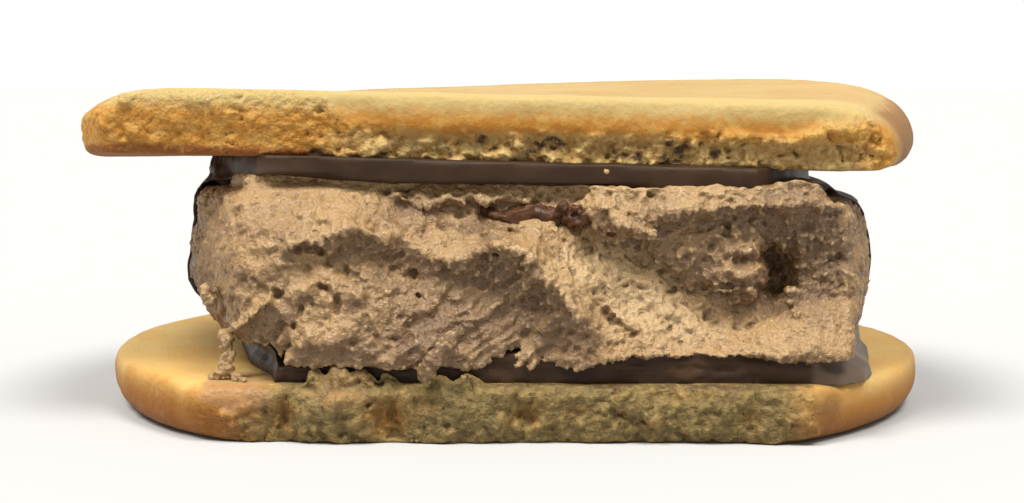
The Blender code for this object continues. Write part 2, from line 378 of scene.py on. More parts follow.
bottomColors = {
    "crustTop": tint(255, 200, 112),
    "crustPale": tint(255, 214, 132),
    # crustSide and edge here are a browner baked side with painted shade on it
    "crustSide": tint(216, 152, 62),
    "golden": tint(228, 170, 86),
    "goldenPale": tint(236, 190, 110),
    "edge": tint(184, 120, 42),
    "crumb": tint(134, 112, 64),
    "crumbPale": tint(172, 148, 92),
    # crumbDeep and goldenDeep are painted shade for the hollows; crumbPale and goldenPale also paint light
    # on the lumps
    "crumbDeep": tint(92, 66, 32),
    "goldenDeep": tint(140, 92, 38),
    "speckPale": tint(186, 162, 104),
    "speckDeep": tint(104, 78, 40),
}

topColors = {
    "crustTop": tint(212, 174, 110),
    "crustPale": tint(220, 186, 124),
    # crustSide and edge here are a painted highlight along the face's upper edge
    "crustSide": tint(230, 200, 134),
    "golden": tint(214, 146, 50),
    "goldenPale": tint(238, 190, 98),
    "edge": tint(224, 198, 130),
    "crumb": tint(212, 168, 98),
    "crumbPale": tint(232, 204, 138),
    # crumbDeep and goldenDeep are painted shade for the hollows; crumbPale and goldenPale also paint light
    # on the lumps
    "crumbDeep": tint(124, 82, 42),
    "goldenDeep": tint(172, 102, 30),
    "speckPale": tint(240, 198, 112),
    "speckDeep": tint(166, 100, 32),
}

# crumbs: how many, and where they start and end across and up
# clinging: across, up, size; hollows and bulges: across, up, half sizes, depth
bottomShape = {
    "seed": 4.0,
    "faceY": -25.8,
    "edgePasses": 10,
    "lumpSize": 2.3,
    "lumpHeight": 0.7,
    "smallRelief": 0.65,
    "hollowDepth": 1.0,
    "clinging": [(-15.0, 4.5, 0.8), (-13.2, 4.7, 0.9), (-11.2, 4.6, 0.8), (-9.4, 4.4, 0.7),
                 (-5.6, 4.4, 0.7), (-3.4, 4.5, 0.7)],
    "crumbs": 90,
    "crumbSpan": (-28.0, 23.0, 0.2, 4.1),
    "hollows": [(-9.6, 2.0, 1.3, 1.3, 1.3), (-6.8, 3.2, 1.0, 0.7, 0.6), (-17.4, 2.0, 0.8, 1.6, 0.9),
                (13.0, 3.7, 2.2, 0.5, 0.4), (1.0, 2.2, 1.2, 0.9, 0.6), (4.8, 2.6, 1.0, 0.8, 0.4),
                (17.6, 2.0, 0.8, 1.2, 0.5)],
    "bulges": [(-14.2, 2.4, 2.2, 1.5, 0.8), (-12.8, 3.6, 1.8, 0.5, 0.6), (-11.6, 1.9, 0.9, 0.9, 0.8),
               (8.6, 2.4, 2.0, 1.3, 0.4), (15.0, 2.8, 1.6, 1.2, 0.3), (6.4, 0.5, 1.6, 0.5, 0.4)],
}

topShape = {
    "seed": 31.0,
    "faceY": -21.4,
    "edgePasses": 16,
    "lumpSize": 1.5,
    "lumpHeight": 0.3,
    "smallRelief": 0.9,
    "hollowDepth": 0.55,
    "clinging": [(-9.6, 0.0, 0.5), (-4.4, -0.1, 0.5), (-1.0, 0.1, 0.45), (4.6, 0.0, 0.5),
                 (7.0, 0.1, 0.4), (10.4, -0.1, 0.5), (14.0, 0.0, 0.5)],
    "crumbs": 150,
    "crumbSpan": (-33.5, 27.0, -0.1, 4.9),
    "hollows": [(2.3, 1.4, 1.2, 0.8, 0.8), (8.4, 0.7, 1.2, 0.5, 0.7), (12.6, 1.6, 0.8, 0.6, 0.8),
                (12.0, 0.6, 1.0, 0.5, 0.6), (15.4, 1.1, 0.5, 0.4, 0.6), (-2.6, 1.7, 0.6, 0.4, 0.6),
                (-1.6, 1.0, 0.5, 0.3, 0.6), (-5.6, 0.6, 1.2, 0.4, 0.6), (-15.4, 0.4, 0.9, 0.4, 0.6),
                (-10.2, 0.5, 0.8, 0.3, 0.4)],
    "bulges": [(24.4, 3.4, 1.2, 0.6, 0.8), (22.6, 2.7, 1.2, 0.6, 0.8), (21.0, 2.2, 1.2, 0.6, 0.6),
               (26.4, 3.3, 0.8, 0.8, 0.5), (17.4, 2.7, 1.3, 0.7, 0.5), (-24.8, 4.3, 2.2, 0.7, 0.5),
               (-28.6, 1.6, 0.7, 0.9, 0.5), (-19.4, 2.4, 1.0, 0.9, 0.4)],
}

# how high the crumb reaches in the top biscuit's face; above it the face broke smooth and golden
crumbLine = [(-34.0, 7.0), (-17.0, 6.0), (-12.0, 2.6), (-8.0, 1.9), (-3.0, 2.1), (3.0, 2.3), (8.0, 2.0),
             (12.0, 2.6), (17.0, 3.0), (20.0, 2.6), (24.0, 3.9), (27.5, 4.2), (29.0, 1.4), (34.0, 1.0)]

topTilt = {  # the top biscuit's underside above the middle of its face, and how it slopes there
    "height": 21.15,
    "across": -0.0223,
    "back": 0.0135,
    "twist": 0.0028,
    "twistReach": 22.0,     # behind this distance the twist grows no more
}


def underside(x, y):  # the top biscuit's tilted, slightly twisted underside
    across = x - topOffset[0]
    back = y - topShape["faceY"]
    reach = topTilt["twistReach"]
    flat = topTilt["height"] + topTilt["across"] * across + topTilt["back"] * back
    return flat + topTilt["twist"] * across * reach * np.tanh(back / reach)


def spots(x, h, places):  # soft oval spots, each with its place, half sizes and strength
    out = np.zeros(len(x))
    for across, up, wide, high, strength in places:
        out += strength * np.exp(-(((x - across) / wide) ** 2 + ((h - up) / high) ** 2))
    return out


def creases(points, size, seed):  # rounded puffs between sharp creases
    return np.abs(grain(points, size, seed)) - 0.2


def crests(points, size, seed, **settings):  # sharp crests between rounded troughs
    return 0.2 - np.abs(grain(points, size, seed, **settings))


def crumbRelief(p, h, shape, seed):  # lumps on lumps, parted by creases, with small holes between them
    wobble = np.stack([grain(p, 1.2, seed + 3 * i) for i in range(3)], axis=1) * 0.5
    w = p + wobble
    depth = 0.20 * grain(p, 4.5, seed + 20)
    depth += shape["lumpHeight"] * (lumps(w, shape["lumpSize"], seed) - 0.75)
    small = shape["smallRelief"]
    depth += 0.55 * creases(w, 1.9, seed + 5) + small * (0.40 * creases(w, 0.8, seed + 6)
                                                         + 0.20 * creases(p, 0.42, seed + 7))
    holes = rise(grain(w, 0.8, seed + 11, octaves=2), 0.30, 0.60)
    holes *= rise(grain(p, 2.4, seed + 15), -0.1, 0.2)
    depth -= 0.4 * small * holes
    raised, sunk = (spots(p[:, 0], h, shape[kind]) for kind in ("bulges", "hollows"))
    depth += raised - shape["hollowDepth"] * sunk
    return depth


def brokenShare(p, n, shape, firmness):  # 1 on the broken face, which runs round the left end
    around = fall(p[:, 0], -30.0, -25.0)
    share = rise(-n[:, 1] + around * (1 - np.abs(n[:, 2])), *firmness)
    return share * fall(p[:, 1] - 10.0 * around, shape["faceY"] + 1.0, shape["faceY"] + 2.2)


scatter = (0.618034, 0.754878, 0.569840)  # steps that spread crumbs evenly and never fall in line


def prepareBiscuit(node, name, shape, rounded, recess, crumbPlace):
    obj = copyNode(node, name)
    voxelRemesh(obj, biscuitLook["roughVoxel"])
    smoothSurface(obj, 1)
    p = getPoints(obj)
    roundWhere(obj, rounded(p) * (p[:, 1] < shape["faceY"] + 3.0), shape["edgePasses"])
    p = getPoints(obj)
    p[:, 1] += recess(p) * fall(p[:, 1], shape["faceY"] + 1.0, shape["faceY"] + 2.5)
    setPoints(obj, p)
    parts = []
    left, right, low, high = shape["crumbSpan"]
    for i in range(shape["crumbs"]):  # crumbs still clinging to the broken face
        across = left + (right - left) * ((i * scatter[0] + 0.1 * sin(i)) % 1.0)
        up = low + (high - low) * ((i * scatter[1] + 0.1 * cos(i)) % 1.0)
        size = biscuitLook["crumbLeast"] + biscuitLook["crumbSpread"] * ((i * scatter[2]) % 1.0) ** 2
        place = crumbPlace(across, up, size)
        if place:
            addClump(parts, place, (size * 1.2, size, size), 57.0 * i, 2)
    for across, up, size in shape["clinging"]:  # larger crumbs that stand over the chocolate
        low = float(underside(across, shape["faceY"])) if shape is topShape else 0.0
        place = (across, shape["faceY"] + 0.8, low + up)
        addClump(parts, place, (size * 1.7, size, size), 5.0 * across, 2)
    joinAll(obj, parts)
    voxelRemesh(obj, biscuitLook["voxel"])
    smoothSurface(obj, 1)
    crust = brokenShare(getPoints(obj), getNormals(obj), shape, (-0.2, 0.3)) < 0.2
    roundWhere(obj, crust, biscuitLook["crustPasses"])
    return obj


def biteBiscuit(obj, shape, height, crumbShare):
    seed = shape["seed"]
    p, n = getSurface(obj)
    face = brokenShare(p, n, shape, (0.1, 0.7))
    live = face > 0.01
    q = p[live]
    h = height(q)
    share = crumbShare(q, h)
    depth = 0.07 * grain(p, 7.0, seed + 40) + 0.03 * grain(p, 1.8, seed + 50, octaves=2)
    smooth = 0.16 * grain(q, 3.0, seed + 30) + 0.05 * grain(q, 0.9, seed + 31, octaves=2)
    depth[live] += face[live] * (crumbRelief(q, h, shape, seed) * share + smooth * (1 - share))
    side = (rise(-p[:, 0], 23.0, 28.0) * face)[:, None]
    out = np.array([0.0, -0.7, 0.0]) * (1 - side) + n * 0.4 * side  # mostly straight out of the break
    p += (n * (1 - 0.7 * face[:, None]) + out * face[:, None]) * depth[:, None]
    p[:, 2] = np.maximum(p[:, 2], 0.0)
    setPoints(obj, p)
    thinOut(obj, biscuitLook["triangles"])
    return obj


def markBiscuit(obj, shape, height, crumbShare):  # masks for the material, after the mesh is final
    p, n = getSurface(obj)
    face = brokenShare(p, n, shape, (-0.1, 0.75))
    h = height(p)
    setMask(obj, "face", face)
    setMask(obj, "crumb", crumbShare(p, h) * face)
    # how sunk each point is, for the painted shade in the hollows
    sunk = 1 - hollowMask(obj, biscuitLook["hollowPasses"], biscuitLook["hollowReach"])
    setMask(obj, "hollow", sunk * face + 0.5 * (1 - face))
    return p, h, face


def makeBottomBiscuit():
    def height(q):
        return q[:, 2]

    def recess(q):  # the bottom edge is a little broken away
        h = q[:, 2]
        return 0.4 * fall(h, 0.1, 1.2) * (0.6 + 0.8 * grain(q, 4.0, 2.0)) + 0.2 * rise(h, 3.6, 4.4)

    def crumbShare(q, h):  # crumb between the crusty ends
        edge = 0.5 * grain(q, 2.0, 6.0)
        glazed = 0.8 * bell(q[:, 0], -21.2, 2.6) * rise(q[:, 2], 1.8, 3.2)
        return rise(q[:, 0] + edge, -27.0, -18.5) * fall(q[:, 0] + edge, 22.0, 23.4) * (1 - glazed)

    def crumbPlace(across, up, size):
        return (across, bottomShape["faceY"] + 0.55 * size, up) if across > -23.0 and up > 1.0 else None

    def rounded(p):  # its whole broken edge
        return p[:, 2] > -1.0

    obj = prepareBiscuit("bottom_biscuit", "bottomBiscuit", bottomShape, rounded, recess, crumbPlace)
    biteBiscuit(obj, bottomShape, height, crumbShare)
    p, h, face = markBiscuit(obj, bottomShape, height, crumbShare)
    n = getNormals(obj)
    x, y, z = p[:, 0], p[:, 1], p[:, 2]
    strip = rise(z, 3.4, 4.2) * fall(y, -24.2, -23.6)  # crumb along the edge in front of the chocolate
    strip = strip * rise(x, -20.0, -17.0) * fall(x, 22.2, 23.2)
    setMask(obj, "face", np.maximum(face, strip))
    setMask(obj, "crumb", np.maximum(crumbShare(p, h) * face, strip))
    ragged = grain(p, 1.3, 5.0, octaves=2)
    wet = bell(x, -21.2, 3.0) * rise(z, 1.8, 3.6) * fall(y, -21.0, -18.0)
    wet = rise(wet + 0.3 * ragged, 0.35, 0.6)
    glaze = bell(x, -12.8, 2.6) * rise(z, 2.2, 3.4) * fall(y, -25.2, -24.4)
    glaze = rise(glaze + 0.3 * ragged, 0.4, 0.6)
    wet = np.maximum(wet, 0.4 * glaze)
    setMask(obj, "wet", wet)
    amber = 0.6 * spots(x + ragged, z + 0.6 * ragged, bottomShape["hollows"])
    amber += fall(x + 1.5 * ragged, -24.0, -17.0)
    amber += 0.6 * rise(x, 19.5, 23.0)
    setMask(obj, "gold", np.clip(amber, 0, 1))
    # chocolate smear and painted shadow along the top front edge, under the chocolate plate
    smearAndShadow = rise(z + 0.5 * ragged, 4.2, 4.6) * fall(y, -25.0, -24.4)
    smearAndShadow = smearAndShadow * rise(x, -3.0, 1.0) * fall(x, 22.4, 23.2)
    setMask(obj, "smearAndShadow", 0.8 * smearAndShadow)
    around = np.hypot(x, y)
    setMask(obj, "rim", 0.5 * rise(around, 33.4, 34.8) * rise(y, -18.0, -6.0) * bell(z, 3.4, 1.4))
    under = 0.8 * fall(z + 0.3 * grain(p, 3.0, 8.0), 0.4, 3.8)
    setMask(obj, "under", under * (1 - face * crumbShare(p, h)))
    # painted shade on the lower sides that face down and on the right end, over a browner baked side
    low = fall(z, 2.2, 4.2) * fall(n[:, 2], 0.1, 0.7)
    end = 0.7 * rise(x, 22.6, 24.0) * fall(y, -23.0, -20.0) * fall(z, 3.6, 4.6)
    setMask(obj, "edge", np.maximum(low, end))
    return obj


def makeTopBiscuit():
    def height(q):
        return q[:, 2] - underside(q[:, 0], q[:, 1])

    def recess(q):  # full and rounded above, set back below where the crumb tore out
        h = height(q)
        torn = fall(h, 1.3, 2.7) * rise(q[:, 0], -13.0, -8.0) * fall(q[:, 0], 26.0, 28.0)
        return 0.6 * torn - 0.3 * bell(h, 2.9, 1.3)

    def crumbShare(q, h):
        line = along(crumbLine, q[:, 0]) + 0.6 * grain(q, 1.5, 12.0)
        wide = 0.4 + 0.8 * fall(q[:, 0], -12.0, -8.0)
        return fall(h, line - wide, line + wide) * (0.65 + 0.35 * rise(q[:, 0], -18.0, -11.0))

    def crumbPlace(across, up, size):
        line = float(along(crumbLine, np.array(across)))
        if up > line - 0.3 or (up < 0.8 and across < -14.0) or across > 24.0 and up < 2.0:
            return None
        low = float(underside(across, topShape["faceY"]))
        torn = 0.6 if across > -10.0 and up < 1.8 else 0.0
        return (across, topShape["faceY"] + 0.35 * size + torn, low + max(up, 0.7 * size))

    def rounded(p):  # its upper edge and both ends
        return (height(p) > 2.4) | (np.abs(p[:, 0]) > 26.0)

    obj = prepareBiscuit("top_biscuit", "topBiscuit", topShape, rounded, recess, crumbPlace)
    p = getPoints(obj)
    corner = rise(-p[:, 0], 24.0, 31.0) * fall(p[:, 1], -14.0, -4.0)
    high = rise(height(p), 1.6, 3.4)
    p[:, 0] += corner * (0.3 - 0.55 * high)  # the left end is blunt above
    setPoints(obj, p)
    biteBiscuit(obj, topShape, height, crumbShare)
    p, h, face = markBiscuit(obj, topShape, height, crumbShare)
    x, y = p[:, 0], p[:, 1]
    left = fall(x, -17.0, -10.0)
    gold = rise(h + 0.4 * grain(p, 2.2, 3.0), 1.6, 2.8) + left + rise(x, 25, 29)
    setMask(obj, "gold", np.clip(gold, 0, 1))
    ragged = grain(p, 0.7, 9.0, octaves=3)
    near = spots(x, h, topShape["hollows"])
    # chocolate smears around the crumb's hollows
    smearAndShadow = rise(near + 0.9 * ragged * rise(near, 0.05, 0.25), 0.34, 0.50) * fall(y, -20.0, -19.4)
    setMask(obj, "smearAndShadow", smearAndShadow)
    setMask(obj, "wet", np.zeros(len(p)))
    around = np.hypot(x - topOffset[0], y - topOffset[1])
    rim = rise(around + 0.8 * ragged, 31.5, 34.0) * fall(h, 4.2, 5.0)
    rim = rim * rise(y, -22.0, -18.0) * rise(x, 20.0, 24.0)
    setMask(obj, "rim", 0.8 * rim)
    left = fall(x, -16.0, -13.0)
    low = fall(h + 0.15 * grain(p, 3.0, 8.0), 0.1 + 0.45 * left, 0.4 + 0.5 * left)
    setMask(obj, "under", low * (1 - face * (1 - left)))
    # painted highlight along the face's upper edge and the crust's rounding above it
    setMask(obj, "edge", rise(h + 0.3 * ragged, 3.0, 4.7) * fall(y, -19.6, -17.6))
    return obj


def biscuitMaterial(name, colors):
    sheet = NodeSheet(name)
    look = {**biscuitLook, **colors}
    face, crumb, hollow = sheet.mask("face"), sheet.mask("crumb"), sheet.mask("hollow")
    gold, smearAndShadow, wet = sheet.mask("gold"), sheet.mask("smearAndShadow"), sheet.mask("wet")
    patches = sheet.remap(sheet.noise(8.0, 4.0), 0.35, 0.65)
    freckles = sheet.remap(sheet.noise(0.5, 3.0, 0.7), 0.58, 0.75, 0.0, 0.4)
    crust = sheet.mix(patches, look["crustTop"], look["crustPale"])
    # the edge mask paints a highlight on the top biscuit and shade on the bottom one's lower sides
    crust = sheet.mix(sheet.mask("edge"), crust, look["crustSide"])
    crust = sheet.mix(freckles, crust, look["freckle"])
    crust = sheet.mix(sheet.mask("rim"), crust, look["rim"])
    # painted light on the crumb's lumps and painted shade in its hollows
    proud = sheet.remap(hollow, 0.56, 0.20)
    sunk = sheet.remap(hollow, 0.5, 0.95, 0.0, 0.7)
    golden = sheet.mix(sheet.math("MULTIPLY", proud, crumb), look["golden"], look["goldenPale"])
    lumpy = sheet.remap(sheet.noise(1.1, 3.0), 0.46, 0.66, 0.0, 0.6)
    golden = sheet.mix(lumpy, golden, look["goldenPale"])
    # edge: painted highlight on the top biscuit, painted shade on the bottom one
    golden = sheet.mix(sheet.mask("edge"), golden, look["edge"])
    golden = sheet.mix(sunk, golden, look["goldenDeep"])
    pale = sheet.mix(proud, look["crumb"], look["crumbPale"])
    lumpy = sheet.remap(sheet.noise(0.9, 3.0), 0.46, 0.66, 0.0, 0.6)
    pale = sheet.mix(lumpy, pale, look["crumbPale"])
    pale = sheet.mix(sunk, pale, look["crumbDeep"])
    inside = sheet.mix(gold, pale, golden)
    color = sheet.mix(face, crust, inside)
    color = sheet.mix(sheet.mask("under"), color, look["crustUnder"])
    color = sheet.mix(sheet.math("MULTIPLY", wet, 0.7), color, look["wetAndPaintedShade"])
    # chocolate smears, and on the bottom biscuit painted shadow under the chocolate
    color = sheet.mix(smearAndShadow, color, look["smearAndShadow"])
    speckle = sheet.noise(0.45, 2.0, 0.6)
    darker = sheet.math("MULTIPLY", crumb, sheet.remap(speckle, 0.46, 0.30, 0.0, 0.42))
    color = sheet.mix(darker, color, look["speckDeep"])
    lighter = sheet.math("MULTIPLY", crumb, sheet.remap(speckle, 0.54, 0.70, 0.0, 0.5))
    color = sheet.mix(lighter, color, look["speckPale"])
    bump = sheet.bump(sheet.math("MULTIPLY", speckle, sheet.remap(crumb, 0.0, 0.8, 0.35, 1.0)), 0.32)
    rough = sheet.remap(sheet.noise(0.7, 2.0), 0.28, 0.45, 0.40, 0.72)
    rough = sheet.math("SUBTRACT", rough, sheet.math("MULTIPLY", wet, 0.25))
    rough = sheet.math("MAXIMUM", rough, sheet.remap(face, 0.0, 0.5, 0.66, 0.15))
    return sheet.finish(color, rough, bump, Subsurface_Weight=0.5, Subsurface_Radius=(1.0, 0.55, 0.22),
                        Subsurface_Scale=1.0 * mm, Specular_IOR_Level=0.28)


# the chocolate coating

coatingLook = {
    "voxel": 0.20,
    "triangles": 120000,
    "overlap": 0.45,        # pressed into both biscuits
    "middle": (1.25, -5.95),
    "runs": 44,             # drops that round off the neck on the left
    "runsFrom": 140,        # degrees round from the right
    "runsTurn": 68,
    "runsOut": 25.75,
    "runSize": 1.25,
    "wallOut": 29.0,
    "footIn": 2.6,          # how far its foot leans in on the left
    # up, and how far the wall's left end is torn back there
    "tearLeft": [(7.0, 0.0), (8.2, 3.2), (11.6, 2.8), (12.8, -0.6), (15.5, -0.4), (17.0, 1.0),
                 (19.0, 1.6)],
    "dark": tint(64, 43, 26),
    "broken": tint(104, 76, 50),
    # grey bloom, also a painted reflection on the foot and painted sheen on the neck
    "bloomAndSheen": tint(136, 116, 98),
}


def turnAbout(p, x0, y0, angle):  # turns points about an upright line
    dx, dy = p[:, 0] - x0, p[:, 1] - y0
    p[:, 0] = x0 + dx * np.cos(angle) - dy * np.sin(angle)
    p[:, 1] = y0 + dx * np.sin(angle) + dy * np.cos(angle)


def footLean(x, y, z):
    return coatingLook["footIn"] * fall(z, 6.5, 10.0) * fall(x, -22.5, -17.0) * fall(y, -12.0, 4.0)


def makeCoating():
    obj = copyNode("chocolate_coating", "chocolateCoating")
    x0, y0 = coatingLook["middle"]
    parts = []
    last, out = coatingLook["runs"] - 1, coatingLook["runsOut"]
    for i in range(last + 1):  # chocolate that ran down from the biscuit
        angle = radians(coatingLook["runsFrom"] + coatingLook["runsTurn"] * i / last)
        size = coatingLook["runSize"] * min(1.0, 0.3 + i / 8, 0.3 + (last - i) / 8)
        place = (x0 + out * cos(angle), y0 + out * sin(angle), 20.0)
        addClump(parts, place, (size, size, 0.8 * size), 0, 2)
    joinAll(obj, parts)
    voxelRemesh(obj, coatingLook["voxel"])
    smoothSurface(obj, 3)
    p, n = getSurface(obj)
    x, y, z = p[:, 0], p[:, 1], p[:, 2]
    front = fall(y, -24.0, -23.0)
    broken = rise(-n[:, 1], 0.4, 0.8) * front
    reach = np.hypot(x - x0, y - y0)
    left, right = rise(-x, 8.0, 14.0), rise(x, 10.0, 16.0)
    under = underside(x, y)
    ragged = 1.4 * grain(p, 2.6, 33.0) + 0.5 * grain(p, 0.8, 31.0)
    p[:, 2] += coatingLook["overlap"] * (rise(z - under, -0.7, -0.35) - fall(z, 4.95, 5.2))
    low = fall(z, 6.5, 8.0)
    depth = 0.07 * grain(p, 4.0, 3.0)
    depth += 0.16 * broken * grain(p, 1.4, 8.0, octaves=3, stretch=(2.0, 1.0, 0.6))
    depth += 0.20 * broken * low * grain(p, 1.0, 18.0, octaves=2, stretch=(1.6, 1.0, 0.5))
    p += n * depth[:, None]
    shoulder = bell(z, 19.2, 1.1)
    p[:, 2] -= shoulder * (0.8 * left * rise(reach, 26.9, 28.4) + 0.65 * right * rise(reach, 25.2, 26.4))
    p[:, 0] += footLean(x, y, z)
    side = rise(z, 6.6, 7.8) * fall(y, -8.0, -1.0) * fall(z, 18.4, 19.2)
    torn = left * along(coatingLook["tearLeft"], z) + 0.7 * ragged
    turnAbout(p, x0, y0, side * torn / coatingLook["wallOut"])
    dome = right * fall(y, -13.0, -9.0) * rise(z, 17.8, 18.6) * rise(reach, 25.0, 25.6)
    pull = dome * fall(z - under, -0.9, -0.5)
    p[:, 1] += pull * (5.0 + 1.2 * ragged)  # the shoulder broke away at the right front
    p[:, 0] -= pull * 2.0
    setPoints(obj, p)
    foot = rise(x, 22.4, 23.2) * fall(z, 8.6, 10.0) * fall(y, -18.0, 4.0)
    # painted sheen along the neck's left
    sheen = bell(x, -19.5, 3.2) * bell(z, 20.5, 0.5)
    setMask(obj, "broken", broken * (1 - foot))
    # grey bloom and painted reflection on the foot, painted sheen on the neck and painted light at the
    # plate's left end
    bloomAndSheen = foot + 0.35 * sheen + 0.2 * bell(x, -19.8, 0.8) * fall(z, 9.0, 11.0)
    setMask(obj, "bloomAndSheen", np.clip(bloomAndSheen, 0, 1))
    thinOut(obj, coatingLook["triangles"])
    return obj


def chocolateMaterial():
    sheet = NodeSheet("darkChocolate")
    cloud = sheet.remap(sheet.noise(3.0, 4.0), 0.4, 0.7, 0.0, 0.25)
    color = sheet.mix(cloud, coatingLook["dark"], coatingLook["broken"])
    streaks = sheet.remap(sheet.noise(1.2, 4.0, stretch=(5.0, 1.0, 1.0)), 0.45, 0.7, 0.0, 0.6)
    color = sheet.mix(sheet.math("MULTIPLY", sheet.mask("broken"), streaks), color, coatingLook["broken"])
    uneven = sheet.remap(sheet.noise(4.0, 3.0), 0.3, 0.7, 0.7, 1.0)
    # grey bloom with painted reflection and sheen
    color = sheet.mix(sheet.math("MULTIPLY", sheet.mask("bloomAndSheen"), uneven), color, coatingLook["bloomAndSheen"])
    bump = sheet.bump(sheet.noise(0.9, 2.0), 0.05)
    rough = sheet.remap(sheet.noise(2.0, 3.0), 0.35, 0.65, 0.42, 0.55)
    return sheet.finish(color, rough, bump, Specular_IOR_Level=0.18)


# the whipped cream

creamLook = {
    "coarse": 0.30,
    "fine": 0.12,
    "triangles": 195000,
    "leastBit": 2000,       # loose bits with fewer points are dropped
    "faceY": -24.4,
    "reach": 7.0,           # how far behind the face its shape fades out
    "lineStep": 1.4,        # spacing along the lines that the face follows
    "gridStep": 0.25,
    "stiffness": 0.15,
    "pressed": 0.36,        # out against the coating
    "swollen": 0.35,        # out where it is bare at the sides
    "sunk": 0.9,            # down under the coating's shoulder at the right
    "overhang": 1.8,        # how far the cream hangs over the plate on the left
    "lit": tint(208, 168, 115),
    "warm": tint(196, 154, 101),
    # the cream as it looks in shade, painted onto faces that look sideways or down and onto the shade
    # patches
    "wetAndPaintedShade": tint(142, 108, 72),
    # painted shade for creases and hollows
    "paintedCreviceShade": tint(104, 74, 43),
    # painted highlight on the ridges and in the light patches
    "paintedHighlight": tint(232, 198, 146),
    "paintedShadePatches": [  # patches of painted shade: across, up, half sizes, strength
        (-5.7, 10.6, 5.0, 2.4, 0.7), (1.1, 9.3, 3.0, 2.2, 0.7), (-12.4, 11.6, 3.0, 2.0, 0.2),
        (21.5, 13.4, 3.6, 2.8, 0.9), (22.2, 18.9, 2.5, 1.0, 0.6), (-2.8, 16.2, 3.2, 0.9, 1.0),
        (-7.9, 17.7, 2.2, 1.1, 1.0), (-18.5, 16.2, 3.2, 1.5, 0.45), (-6.4, 7.6, 4.2, 2.0, 0.9),
        (14.7, 13.9, 2.1, 1.6, 0.8), (23.2, 11.6, 2.2, 2.0, 0.7), (18.5, 16.6, 4.5, 1.2, 0.5),
        (-10.5, 12.4, 2.0, 1.4, 0.4), (10.2, 17.6, 1.4, 1.0, 0.6), (24.0, 15.0, 1.8, 2.6, 0.7),
        (19.2, 10.4, 2.0, 1.0, 0.6), (19.2, 19.0, 2.0, 0.6, 0.7),
    ],
    # patches of painted light on slopes that face the lamps: across, up, half sizes, strength
    "paintedLightPatches": [
        (5.8, 13.4, 2.6, 1.8, 0.9), (9.6, 11.0, 3.0, 2.0, 1.0), (13.2, 9.4, 3.6, 1.2, 0.6),
        (12.0, 18.9, 6.0, 0.6, 0.4),
    ],
}

